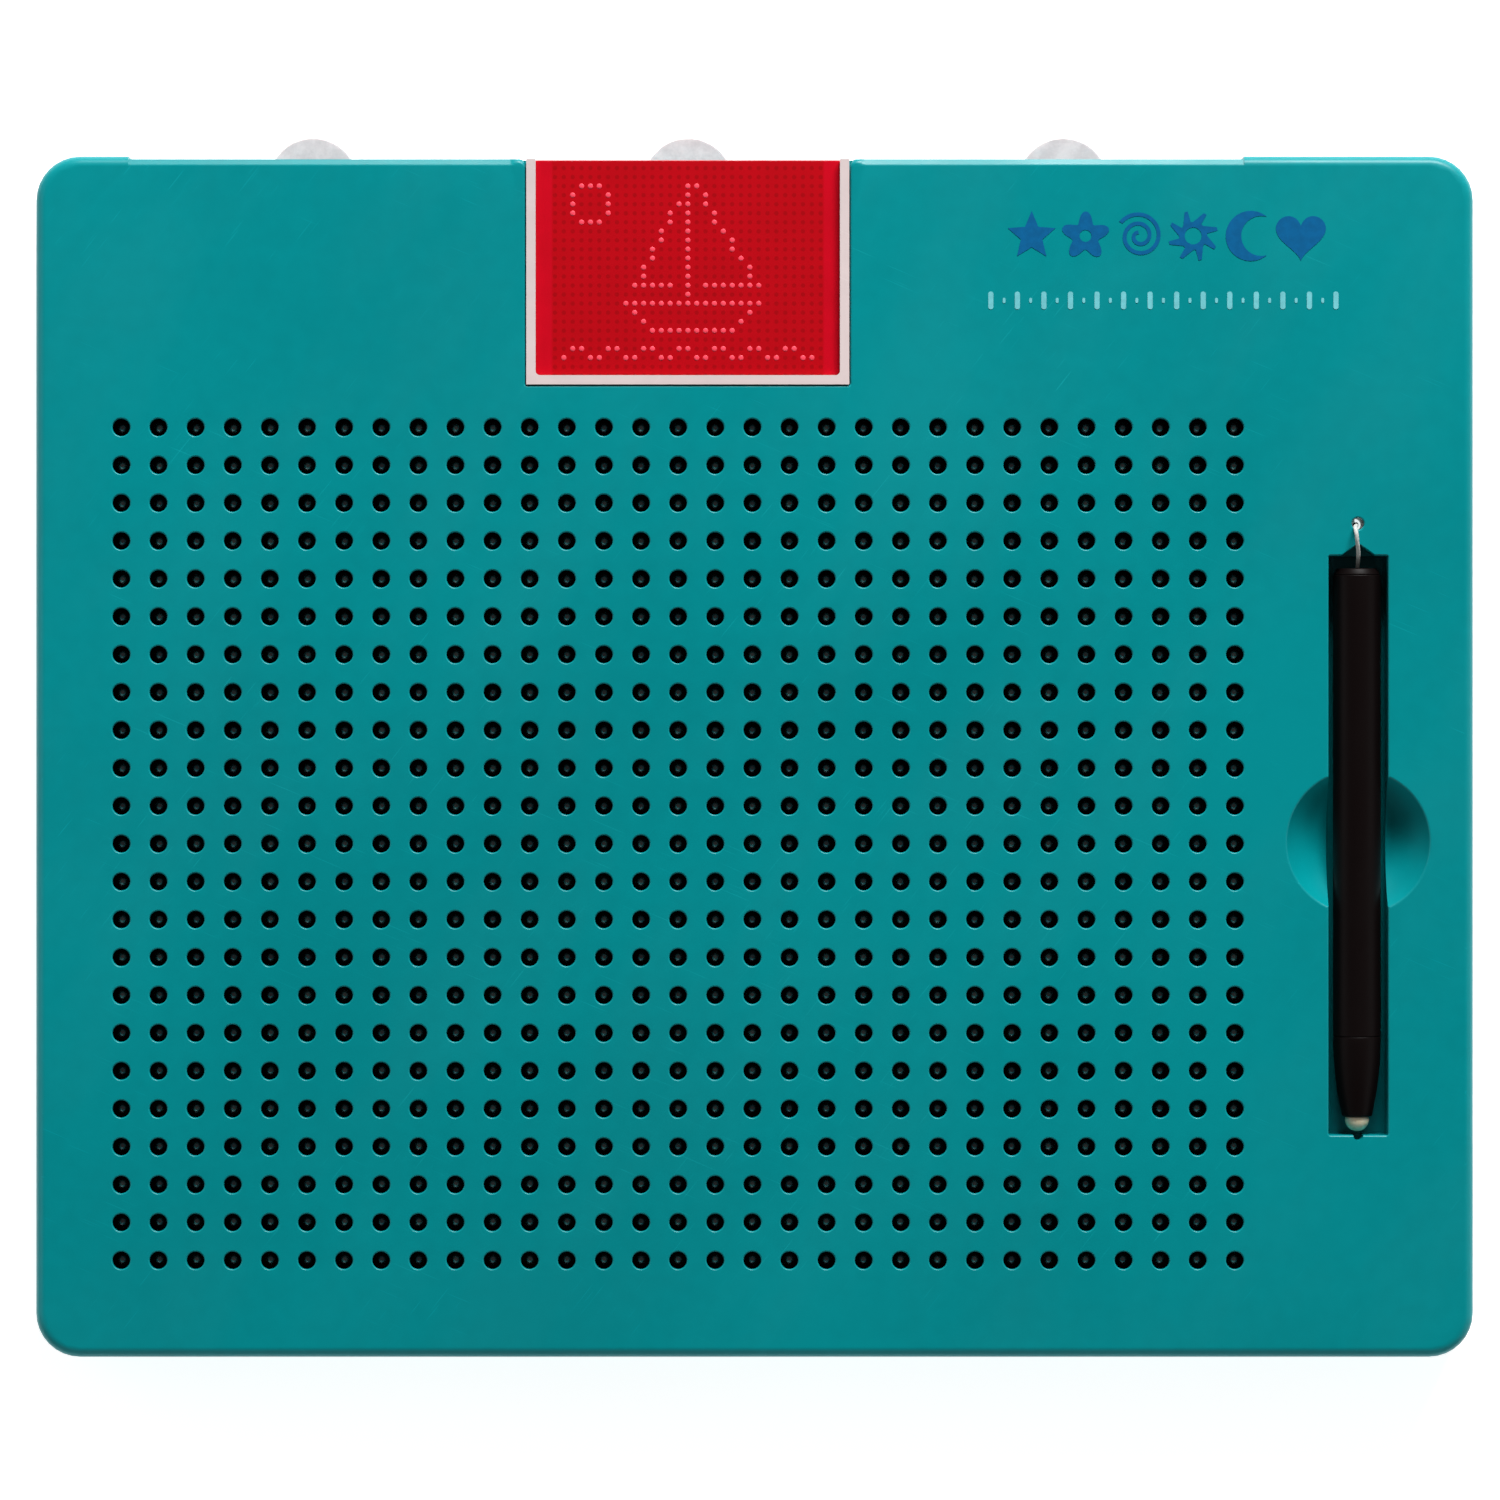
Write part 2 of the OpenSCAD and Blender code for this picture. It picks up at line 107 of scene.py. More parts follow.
# %% Shader helpers
class Signal:
    """A shader socket that can take part in sums."""

    def __init__(self, finish, socket):
        self.finish, self.socket = finish, socket

    def math(self, operation, first, second):
        made = self.finish.node("ShaderNodeMath", {"operation": operation}, {0: first, 1: second})
        return Signal(self.finish, made.outputs[0])

    def __add__(self, other):
        return self.math("ADD", self, other)

    def __sub__(self, other):
        return self.math("SUBTRACT", self, other)

    def __rsub__(self, other):
        return self.math("SUBTRACT", other, self)

    def __mul__(self, other):
        return self.math("MULTIPLY", self, other)

    __radd__, __rmul__ = __add__, __mul__

    def between(self, low, high):
        """0 below low, 1 above high, and smooth from one to the other."""
        made = self.finish.node(
            "ShaderNodeMapRange", {"interpolation_type": "SMOOTHSTEP"},
            {"Value": self, "From Min": low, "From Max": high})
        return Signal(self.finish, made.outputs[0])


class Finish:
    """A material: a Principled shader, its uniform values, and the nodes that feed it."""

    def __init__(self, name, uniform):
        self.material = bpy.data.materials.new(name)
        self.material.use_nodes = True
        self.tree = self.material.node_tree
        self.tree.nodes.clear()
        self.shader = self.node("ShaderNodeBsdfPrincipled", {}, uniform)
        self.node("ShaderNodeOutputMaterial", {}, {"Surface": self.shader.outputs[0]})
        self.place = Signal(self, self.node("ShaderNodeTexCoord").outputs["Object"])

    def node(self, kind, settings=None, sockets=None):
        made = self.tree.nodes.new(kind)
        for key, value in (settings or {}).items():
            setattr(made, key, value)
        for key, value in (sockets or {}).items():
            source = value.socket if isinstance(value, Signal) else value
            if isinstance(source, bpy.types.NodeSocket):
                self.tree.links.new(source, made.inputs[key])
            else:
                made.inputs[key].default_value = source
        return made

    def scaled(self, size, stretch=(1, 1, 1), turn=0.0):
        """The place on the piece, with one unit for size, turned and stretched."""
        turned = self.node("ShaderNodeVectorRotate", {"rotation_type": "Z_AXIS"},
                           {"Vector": self.place, "Angle": turn})
        made = self.node("ShaderNodeVectorMath", {"operation": "MULTIPLY"},
                         {0: turned.outputs[0], 1: [1 / (size * s) for s in stretch]})
        return Signal(self, made.outputs[0])

    def noise(self, size, detail=2.0, stretch=(1, 1, 1), turn=0.0):
        """Cloudy noise from 0 to 1 with blotches about size across."""
        made = self.node("ShaderNodeTexNoise", {},
                         {"Vector": self.scaled(size, stretch, turn), "Scale": 1.0, "Detail": detail})
        return Signal(self, made.outputs[0])

    def cells(self, size, stretch=(1, 1, 1)):
        """Distance to the nearest of many scattered points about size apart."""
        made = self.node("ShaderNodeTexVoronoi", {},
                         {"Vector": self.scaled(size, stretch), "Scale": 1.0})
        return Signal(self, made.outputs["Distance"])

    def scratches(self, length, turn):
        """Fine straight scratches about length long, lying one way."""
        lines = self.noise(0.25 * mm, 1.0, (length / (0.25 * mm), 1, 1), turn)
        patches = self.noise(30 * mm, 1.0, turn=turn + 1)
        return lines.between(0.70, 0.78) * patches.between(0.45, 0.62)

    def axis(self, index):
        """The place along X, Y or Z, in metres."""
        split = self.node("ShaderNodeSeparateXYZ", {}, {0: self.place})
        return Signal(self, split.outputs[index])

    def mix(self, share, first, second):
        made = self.node("ShaderNodeMix", {"data_type": "RGBA"}, {0: share, 6: first, 7: second})
        return Signal(self, made.outputs[2])

    def feed(self, socket, signal):
        self.tree.links.new(signal.socket, self.shader.inputs[socket])

    def relief(self, height, depth):
        """A bump of height, 0 to 1, that is depth metres deep."""
        made = self.node("ShaderNodeBump", {}, {"Strength": 1.0, "Distance": depth, "Height": height})
        self.tree.links.new(made.outputs[0], self.shader.inputs["Normal"])


def srgb(red, green, blue):
    """A colour given as 0 to 255 on a screen, as the linear colour that shaders use."""
    linear = [(v / 255) / 12.92 if v <= 10 else ((v / 255 + 0.055) / 1.055) ** 2.4
              for v in (red, green, blue)]
    return (*linear, 1.0)


def tinted(colour, factor):
    return (*[min(1.0, c * factor) for c in colour[:3]], 1.0)


print("shader helpers ready")

# %% [markdown]
# Every plastic part here is injection moulded. What makes moulded plastic look real is small: the
# dye drifts a little over a hand's width, the tool leaves a satin grain, and use leaves smears and
# hairline scratches that change only the gloss. One function mixes these in for each part, so the
# parts stay one family and differ only in colour, gloss and grain.

# %% Moulded plastic
def moulded(name, colour, rough, grain=0.35 * mm, depth=0.006 * mm, wear=1.0, uniform=None):
    """Satin injection-moulded plastic, with grain, smears and light scratches."""
    finish = Finish(name, {"IOR": 1.52, "Specular IOR Level": 0.2, **(uniform or {})})
    drift = finish.noise(70 * mm, 3.0)
    mottle = finish.noise(4 * mm, 4.0)
    skin = finish.noise(grain, 2.0)
    smears = finish.noise(22 * mm, 5.0, (1, 2.4, 1), 0.5)
    marks = finish.scratches(16 * mm, 0.4) + finish.scratches(11 * mm, -0.9)
    shade = drift * 0.7 + mottle * 0.3
    tone = finish.mix(shade.between(0.3, 0.7), tinted(colour, 0.93), tinted(colour, 1.06))
    worn = finish.mix(marks * (0.35 * wear), tone, tinted(colour, 1.9))
    finish.feed("Base Color", worn)
    finish.feed("Roughness", rough - 0.05 + smears.between(0.35, 0.7) * 0.10 + marks * (0.12 * wear))
    finish.relief(skin + mottle * 0.35 - marks * (0.5 * wear), depth)
    return finish


TEAL = srgb(0, 129, 134)
teal_face = moulded("teal_face", TEAL, 0.34)
teal_back = moulded("teal_back", tinted(TEAL, 0.92), 0.46, 0.7 * mm, 0.03 * mm)
stylus_black = moulded("stylus_black", srgb(11, 5, 5), 0.48, 0.3 * mm, 0.004 * mm, 1.0,
                       {"Specular IOR Level": 0.08})
frame_white = moulded("frame_white", srgb(206, 190, 189), 0.36, 0.3 * mm, 0.004 * mm, 0.3)
black_plate = moulded("black_plate", srgb(18, 18, 19), 0.62, 0.25 * mm, 0.01 * mm, 0.2)
print("moulded plastics:", [f.material.name for f in (teal_face, teal_back, stylus_black)])

# %% [markdown]
# The rest of the finishes are each one of a kind. The beads are tumbled steel, bright but not
# mirror clean. The feet are soft translucent rubber, the nib is a waxy nylon, the sheet that grips
# the beads is a foamed rubber, and the cord is a twist of cotton with a fibrous surface.

# %% Steel, rubber, nylon and cord
def bead_steel():
    finish = Finish("bead_steel", {"Metallic": 1.0})
    tone = finish.noise(9 * mm, 2.0)
    pits = finish.cells(0.5 * mm)
    shade = tone.between(0.35, 0.65)
    finish.feed("Base Color", finish.mix(shade, srgb(118, 120, 124), srgb(150, 149, 147)))
    finish.feed("Roughness", 0.20 + tone * 0.10 + (1 - pits.between(0.05, 0.3)) * 0.08)
    finish.relief(pits.between(0.02, 0.25), 0.003 * mm)
    return finish


def screw_steel():
    finish = Finish("screw_steel", {"Metallic": 1.0})
    brushed = finish.noise(0.15 * mm, 3.0, (9, 1, 1), 0.3)
    bloom = finish.noise(1.6 * mm, 3.0)
    shade = bloom.between(0.3, 0.7)
    finish.feed("Base Color", finish.mix(shade, srgb(168, 170, 172), srgb(206, 205, 198)))
    finish.feed("Roughness", 0.26 + bloom * 0.18 + brushed * 0.08)
    finish.relief(brushed, 0.006 * mm)
    return finish


def magnet_nickel():
    finish = Finish("magnet_nickel", {"Metallic": 1.0})
    haze = finish.noise(1.2 * mm, 4.0)
    finish.feed("Base Color", finish.mix(haze, srgb(150, 150, 152), srgb(188, 186, 182)))
    finish.feed("Roughness", 0.14 + haze * 0.2)
    finish.relief(haze, 0.003 * mm)
    return finish


def soft_rubber(name, dark, light, rough, depth, uniform=None):
    finish = Finish(name, {"IOR": 1.46, **(uniform or {})})
    cloud = finish.noise(3.5 * mm, 3.0)
    dust = finish.noise(0.6 * mm, 4.0)
    pores = finish.cells(0.35 * mm)
    finish.feed("Base Color", finish.mix((cloud * 0.7 + dust * 0.3).between(0.3, 0.7), dark, light))
    finish.feed("Roughness", rough + dust * 0.14)
    finish.relief(pores.between(0.0, 0.5) * 0.6 + dust * 0.4, depth)
    return finish


def waxy_nylon():
    finish = Finish("nib_nylon", {"IOR": 1.53, "Subsurface Weight": 0.12, "Subsurface Scale": 0.6 * mm,
                                  "Subsurface Radius": (1.0, 0.7, 0.4)})
    rubbed = finish.noise(0.8 * mm, 4.0)
    cloud = finish.noise(2.5 * mm, 2.0)
    cream = finish.mix(cloud.between(0.3, 0.7), srgb(222, 208, 176), srgb(240, 230, 206))
    finish.feed("Base Color", finish.mix(rubbed.between(0.62, 0.8) * 0.5, cream, srgb(150, 138, 116)))
    finish.feed("Roughness", 0.34 + rubbed * 0.2)
    finish.relief(rubbed, 0.01 * mm)
    return finish


def cotton_cord():
    finish = Finish("cord_cotton", {"Sheen Weight": 0.35, "Sheen Roughness": 0.5,
                                    "Specular IOR Level": 0.25})
    fuzz = finish.noise(0.12 * mm, 4.0, (1, 3, 1))
    soil = finish.noise(5 * mm, 3.0)
    clean = finish.mix(fuzz.between(0.25, 0.75), srgb(148, 149, 146), srgb(206, 208, 203))
    finish.feed("Base Color", finish.mix(soil.between(0.5, 0.8) * 0.35, clean, srgb(168, 158, 142)))
    finish.feed("Roughness", 0.78 + fuzz * 0.15)
    finish.relief(fuzz, 0.02 * mm)
    return finish


steel, zinc, nickel = bead_steel(), screw_steel(), magnet_nickel()
foot_rubber = soft_rubber("foot_rubber", srgb(196, 183, 185), srgb(216, 203, 204), 0.42, 0.01 * mm,
                          {"Subsurface Weight": 0.25, "Subsurface Scale": 1.5 * mm,
                           "Subsurface Radius": (1.0, 0.95, 0.95)})
grip_sheet = soft_rubber("grip_sheet", srgb(24, 24, 26), srgb(40, 40, 43), 0.7, 0.03 * mm)
nylon, cotton = waxy_nylon(), cotton_cord()
one_offs = (steel, zinc, nickel, foot_rubber, grip_sheet, nylon, cotton)
print("one-off finishes:", [f.material.name for f in one_offs])

# %% [markdown]
# The board is seen from straight above, the way one looks down at it on a table, with +Y up the
# picture. A long lens far away keeps the holes from leaning outwards at the edges. The view is a
# little wider than the board, and its middle is a touch left of the board's and above it.

# %% Camera
camera = bpy.data.objects.new("camera", bpy.data.cameras.new("camera"))
scene.collection.objects.link(camera)
scene.camera = camera
view_w, distance = 323.2 * mm, 1.6
camera.data.sensor_width = 36.0
camera.data.lens = camera.data.sensor_width * distance / view_w
aim_x, aim_y = -0.99 * mm, board_y + 1.43 * mm
camera.location = (aim_x, aim_y, face_z + distance)
camera.data.clip_start, camera.data.clip_end = 0.1, 20.0
print(f"lens {camera.data.lens:.0f} mm from {distance} m")

# %% [markdown]
# Three small tools make nearly every shape. `rounded_path` walks round a list of corners and turns
# each into an arc, and knows which way is outwards, so an edge can be rolled over by shrinking the
# path ring by ring. `fill` closes a flat area round any number of openings. `piece` takes the
# gathered points and faces, has them welded and turned outwards, keeps true creases sharp and lets
# large flat faces set the shading, which makes a small fillet read as a crisp moulded edge.

# %% Paths, fills and pieces
def rounded_path(corners, step=12 * mm, turn=math.radians(11.25)):
    """Points, outward directions and values round a closed anticlockwise path.
    A corner is (x, y, radius, value), and the value holds until the next corner."""
    arcs = []
    for i, (x, y, radius, value) in enumerate(corners):
        before, after = corners[i - 1], corners[(i + 1) % len(corners)]
        here = np.array((x, y))
        way_in, way_out = here - before[:2], np.array(after[:2]) - here
        way_in, way_out = way_in / np.hypot(*way_in), way_out / np.hypot(*way_out)
        bend = math.atan2(way_in[0] * way_out[1] - way_in[1] * way_out[0], way_in @ way_out)
        side = math.copysign(1.0, bend)
        start = here - way_in * radius * math.tan(abs(bend) / 2)
        centre = start + side * radius * np.array((-way_in[1], way_in[0]))
        steps = max(1, math.ceil(abs(bend) / turn))
        arc = []
        for k in range(steps + 1):
            angle = bend * k / steps
            way = (way_in[0] * math.cos(angle) - way_in[1] * math.sin(angle),
                   way_in[0] * math.sin(angle) + way_in[1] * math.cos(angle))
            share = k / steps
            blend = share * share * (3 - 2 * share)
            arc.append((centre + side * radius * np.array((way[1], -way[0])),
                        np.array((way[1], -way[0])), before[3] + (value - before[3]) * blend))
        arcs.append(arc)
    path = []
    for arc, following in zip(arcs, arcs[1:] + arcs[:1]):
        path += arc
        gap = following[0][0] - arc[-1][0]
        pieces = math.ceil(np.hypot(*gap) / step)
        path += [(arc[-1][0] + gap * k / pieces, arc[-1][1], arc[-1][2]) for k in range(1, pieces)]
    return [np.array(column) for column in zip(*path)]


def rounded_box(low, high, radius, step=12 * mm):
    """The rounded path of an upright rectangle with one corner radius."""
    corners = ((high[0], high[1]), (low[0], high[1]), (low[0], low[1]), (high[0], low[1]))
    return rounded_path([(x, y, radius, 0) for x, y in corners], step)


def inside_loop(spots, loop):
    """For each spot, whether it is inside: a line to the right crosses the loop an odd number of times."""
    ends = np.array(loop, float)
    starts = np.roll(ends, 1, axis=0)
    x, y = spots[:, :1], spots[:, 1:]
    spans = (starts[:, 1] > y) != (ends[:, 1] > y)
    with np.errstate(divide="ignore", invalid="ignore"):
        lean = (ends[:, 0] - starts[:, 0]) / (ends[:, 1] - starts[:, 1])
        crossing = starts[:, 0] + (y - starts[:, 1]) * lean
    return (spans & (x < crossing)).sum(axis=1) % 2 == 1


def fill(loops, z):
    """Triangles over the flat area inside the first loop and outside the others."""
    points = [Vector(p) / mm for loop in loops for p in loop]
    edges, start = [], 0
    for loop in loops:
        edges += [(start + i, start + (i + 1) % len(loop)) for i in range(len(loop))]
        start += len(loop)
    found = delaunay_2d_cdt(points, edges, [], 1, 1e-5)
    flat = np.array([tuple(p) for p in found[0]]) * mm
    middles = np.array([flat[list(face)].mean(axis=0) for face in found[2]])
    wanted = inside_loop(middles, loops[0])
    for loop in loops[1:]:
        wanted &= ~inside_loop(middles, loop)
    return [(x, y, z) for x, y in flat], [face for face, keep in zip(found[2], wanted) if keep]


def level(loop, z):
    """The loop's points, all at the height z."""
    return [(x, y, z) for x, y in loop]


class Skin:
    """The points and faces of one piece, gathered patch by patch and welded at the end."""

    def __init__(self):
        self.points, self.faces = [], []

    def add(self, points, faces):
        start = len(self.points)
        self.points += [tuple(p) for p in points]
        self.faces += [[start + i for i in face] for face in faces]

    def rings(self, rings, closed=True):
        """Quads between one ring of points and the next."""
        around = len(rings[0])
        last = around if closed else around - 1
        self.add([p for ring in rings for p in ring],
                 [(a * around + i, a * around + (i + 1) % around,
                   (a + 1) * around + (i + 1) % around, (a + 1) * around + i)
                  for a in range(len(rings) - 1) for i in range(last)])

    def prism(self, outline, low, high, holes=()):
        """A closed slab of that outline, with holes through it."""
        for z in (low, high):
            self.add(*fill([outline, *holes], z))
        for loop in (outline, *holes):
            self.rings([level(loop, z) for z in (low, high)])


def circle(x, y, radius, sides, start=0.0):
    return [(x + radius * math.cos(start + 2 * math.pi * i / sides),
             y + radius * math.sin(start + 2 * math.pi * i / sides)) for i in range(sides)]


def even_shading(made, crease):
    """Smooth shading that keeps creases, with the large faces setting the normals."""
    made.data.polygons.foreach_set("use_smooth", [True] * len(made.data.polygons))
    made.data.set_sharp_from_angle(angle=math.radians(crease))
    even = made.modifiers.new("even_shading", "WEIGHTED_NORMAL")
    even.keep_sharp = True


def welded(name, skin, reach):
    """A new object of the skin, its points merged within reach, and how many edges stay open."""
    mesh = bpy.data.meshes.new(name)
    mesh.from_pydata(skin.points, [], skin.faces)
    work = bmesh.new()
    work.from_mesh(mesh)
    bmesh.ops.remove_doubles(work, verts=work.verts, dist=reach)
    bmesh.ops.recalc_face_normals(work, faces=work.faces)
    work.to_mesh(mesh)
    open_edges = sum(not edge.is_manifold for edge in work.edges)
    work.free()
    made = bpy.data.objects.new(name, mesh)
    scene.collection.objects.link(made)
    return made, open_edges


def piece(name, skin, finish, body, replaces=(), crease=34):
    made, open_edges = welded(name, skin, 0.002 * mm)
    made.data.materials.append(finish.material)
    if crease:
        even_shading(made, crease)
    if body:
        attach(made, body)
    if replaces:
        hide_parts(*replaces)
    print(f"{name}: {len(made.data.polygons)} faces, {open_edges} open edges")
    return made


print("mesh tools ready")

# %% [markdown]
# The tether is a limp twisted cord, 0.9 mm thick. It is anchored by a knot inside the case, its
# slack is coiled in a pocket under the board, and it comes up through an eyelet and runs into the
# end of the stylus. The route is the one in the CAD source, but for three places where it leans
# on the eyelet's lower left edge: two listed stretches, and between them a flat coil wound
# inwards on the lower layer and outwards on the upper one.

# %% The cord's route
cord_d = 0.9 * mm
eyelet_x, eyelet_y = 130 * mm, board_y + 50.2 * mm
coil_in, coil_turns = 3.6 * mm, 4
coil_out = coil_in + coil_turns * cord_d
coil_x = eyelet_x + coil_out
coil_y = board_y + 65 * mm
anchor_x = (coil_x + coil_out) / mm
anchor_route = [
    (anchor_x, 47, 6.3), (anchor_x, 50, 6.3), (anchor_x, 53, 5.4), (anchor_x, 56, 3.4),
    (anchor_x, 59, 1.7), (anchor_x, 62, 0.8), (anchor_x, 65, 0.45)]
rise_route = [
    (130, 65, 1.35), (130, 61, 1.4), (130, 57, 1.5), (130, 54, 1.6), (130, 52.2, 1.9),
    (130, 50.9, 2.7), (130, 50.3, 4), (130, 50.2, 6), (130, 50.2, 9), (130, 50.2, 12),
    (129.8, 49.9, 15), (129.4, 49.5, 16.9), (129.35, 48.9, 18.1), (129.5, 47.9, 18.9),
    (129.7, 46.2, 18.5), (130, 44.4, 17.2), (130.2, 42.8, 14.7), (130.2, 41.2, 12.95),
    (130.1, 39.6, 12.45), (130.1, 37, 12.45), (130.1, 33.4, 12.45)]


def on_board(route):
    return [Vector((x * mm, board_y + y * mm, z * mm)) for x, y, z in route]


def coil_points(per_turn=24):
    """The coil's middle line, without its two ends."""
    half_turns = 2 * coil_turns + 0.5
    points = []
    for k in range(1, round(half_turns * per_turn)):
        turns = k / per_turn
        inward = min(turns, coil_turns)
        outward = max(0.0, turns - coil_turns - 0.5)
        climb = min(1.0, max(0.0, (turns - coil_turns) / 0.5))
        radius = coil_out - (inward - outward) * cord_d
        angle = 2 * math.pi * turns
        points.append(Vector((coil_x + radius * math.cos(angle), coil_y + radius * math.sin(angle),
                              cord_d * (0.5 + climb))))
    return points


def eased(points, spacing):
    """The smooth curve through the points, as places about spacing apart."""
    ends = [2 * points[0] - points[1], *points, 2 * points[-1] - points[-2]]
    path = []
    for a, b, c, d in zip(ends, ends[1:], ends[2:], ends[3:]):
        steps = max(1, round((c - b).length / spacing))
        for k in range(steps):
            t = k / steps
            path.append(0.5 * (2 * b + (c - a) * t + (2 * a - 5 * b + 4 * c - d) * t * t
                               + (3 * b - a - 3 * c + d) * t ** 3))
    return path + [points[-1]]


cord_path = eased([*on_board(anchor_route), *coil_points(), *on_board(rise_route)], 0.3 * mm)
cord_length = sum((b - a).length for a, b in zip(cord_path, cord_path[1:]))
print(f"cord {cord_length / mm:.0f} mm long in {len(cord_path)} steps")

# %% [markdown]
# A cord this thin is three yarns twisted together. Instead of three tubes, one tube gets a
# three-lobed section that turns as it goes along, which gives the same barber-pole ridges in one
# clean skin. The same sweep, along a trefoil, ties the small knots at both ends.

# %% Twisted cord and knots
def twisted(path, radius, lay_length, sides=15, lobes=3, groove=0.16, closed=False):
    """A lobed tube along a path, its lobes making one turn in lay_length."""
    skin, rings, travelled = Skin(), [], 0.0
    side = Vector((0, 0, 1)).cross(path[1] - path[0]).normalized()
    for i, place in enumerate(path):
        ahead = path[(i + 1) % len(path)] if closed else path[min(i + 1, len(path) - 1)]
        way = (ahead - path[i - 1 if closed or i else 0]).normalized()
        side = (side - way * side.dot(way)).normalized()
        up = way.cross(side)
        travelled += (place - path[i - 1]).length if i else 0.0
        twist = 2 * math.pi * travelled / lay_length
        ring = []
        for k in range(sides):
            angle = 2 * math.pi * k / sides
            reach = radius * (1 - groove * (1 - abs(math.cos(lobes * (angle - twist) / 2))))
            ring.append(place + reach * (math.cos(angle) * side + math.sin(angle) * up))
        rings.append(ring)
    skin.rings(rings + rings[:1] if closed else rings)
    if not closed:
        for ring, centre in ((rings[0], path[0]), (rings[-1], path[-1])):
            skin.add([*ring, centre], [(k, (k + 1) % sides, sides) for k in range(sides)])
    return skin


def knot(name, node, body, steps=120, spread=0.27, height=0.42, strand_r=0.26):
    """A small overhand knot that fills a CAD node's box, its sizes as shares of half the box."""
    low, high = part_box(node)
    centre, size = (low + high) / 2, (high - low).x / 2
    path = []
    for k in range(steps):
        t = 2 * math.pi * k / steps
        path.append(centre + size * Vector((spread * (math.sin(t) + 2 * math.sin(2 * t)),
                                            spread * (math.cos(t) - 2 * math.cos(2 * t)),
                                            -height * math.sin(3 * t))))
    strand = twisted(path, size * strand_r, 2.0 * mm, closed=True)
    return piece(name, strand, cotton, body, [node], crease=0)


tether_knot = knot("tether_knot_tied", "tether_knot", "root")
stylus_knot = knot("stylus_knot_tied", "stylus_knot", "stylus")
cord_skin = twisted(cord_path, cord_d / 2, 2.6 * mm)
tether = piece("tether_cord_twisted", cord_skin, cotton, None,
               ["tether_cord", "tether_coil"], crease=0)
for made in (tether, tether_knot, stylus_knot):
    made.data.polygons.foreach_set("use_smooth", [True] * len(made.data.polygons))

eyelet = Vector((eyelet_x, eyelet_y, face_z))
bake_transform(tether)

# %% [markdown]
# The front shell is most of what one sees, so it is built from patches that each suit their job:
# a rolled outer rim from shrinking rings, a grid of square tiles each with one round-lipped hole, a
# block for the stylus tray cut by shaped solids, and flat fills between. All patches share their
# border points, so they weld into one closed shell with a real inside.

# %% The shell's outline
holder_low, holder_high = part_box("card_frame")
holder_x = (holder_low.x + holder_high.x) / 2
pocket_gap, wall, edge_r = 0.2 * mm, 2.4 * mm, 2.3 * mm
pocket_floor, pocket_skin = holder_low.z, 1.6 * mm
corner_r, mouth_r, nook_r, pocket_lip = 9.5 * mm, 2.6 * mm, 0.4 * mm, 0.5 * mm
step_left, step_right, step_d, step_end = -135 * mm, 105.5 * mm, 0.7 * mm, 0.02 * mm
step_slope, slope_gap = math.tan(math.radians(31)), 3.4 * mm


def board_corners(inset, skin, round_over, lip):
    """The board's outline with the card pocket's notch in its top edge, shrunk by inset, and the
    pocket grown by skin. Corners without a radius mark the ends of the step and of its slope."""
    x, top, bottom = board_w / 2 - inset, shell_high.y - inset, shell_low.y + inset
    half = (holder_high.x - holder_low.x) / 2 + pocket_gap + skin
    low = holder_low.y - pocket_gap - skin
    corner = corner_r - inset
    return [
        (holder_x + half, top, mouth_r, lip), (holder_x + half, low, nook_r, lip),
        (holder_x - half, low, nook_r, lip), (holder_x - half, top, mouth_r, round_over),
        (holder_x - half - slope_gap, top, 0, round_over),
        (step_left + step_end, top, 0, round_over), (step_left - step_end, top, 0, round_over),
        (-x, top, corner, round_over), (-x, bottom, corner, round_over),
        (x, bottom, corner, round_over), (x, top, corner, round_over),
        (step_right + step_end, top, 0, round_over), (step_right - step_end, top, 0, round_over),
        (holder_x + half + slope_gap, top, 0, round_over)]


def stepped(ring, inset=0.0):
    """A ring of (x, y, z) with the shallow step pressed into its top edge, under one plain slope."""
    limit = shell_high.y - step_d - inset
    slope_start = shell_high.y - edge_r
    slope_from = (holder_high.x - holder_low.x) / 2 + pocket_gap + slope_gap - 0.1 * mm
    made = []
    for x, y, z in ring:
        if step_left < x < step_right:
            y = min(y, limit)
            if abs(x - holder_x) > slope_from:
                z = min(z, face_z - max(0.0, y - slope_start) * step_slope)
        made.append((x, y, z))
    return made


def without_notch(points, top):
    """The outline that runs straight past the notch at the height top, and the notch's own points."""
    lowest = holder_low.y - 3 * mm
    below = [i for i, (x, y) in enumerate(points)
             if abs(x - holder_x) < 40 * mm and lowest < y < top - 0.001 * mm]
    plain = [tuple(p) for i, p in enumerate(points) if i not in below]
    return plain, [tuple(points[i]) for i in range(below[0] - 1, below[-1] + 2)]


outside = rounded_path(board_corners(0.0, 0.0, edge_r, pocket_lip))
inside = rounded_path(board_corners(wall, pocket_skin, 0.0, 0.0))
outside_plain, outside_notch = without_notch(outside[0], shell_high.y - step_d)
inside_plain, inside_notch = without_notch(inside[0], shell_high.y - wall)
print(f"outline of {len(outside[0])} points, {len(outside_notch)} of them round the card pocket")

# %% [markdown]
# The rim rolls over from the flat face to the wall. The roll is 2.3 mm on the board's edges and
# tightens to a small lip inside the card pocket, so the radius travels along the outline as the
# path's value. Along the shallow step in the top edge one plain slope takes the roll's place, and
# it catches the light as a pale band. Below the rim the wall drops to the parting line, where a
# fine ease on the edge leaves the thin shadow line that every two-part case shows.

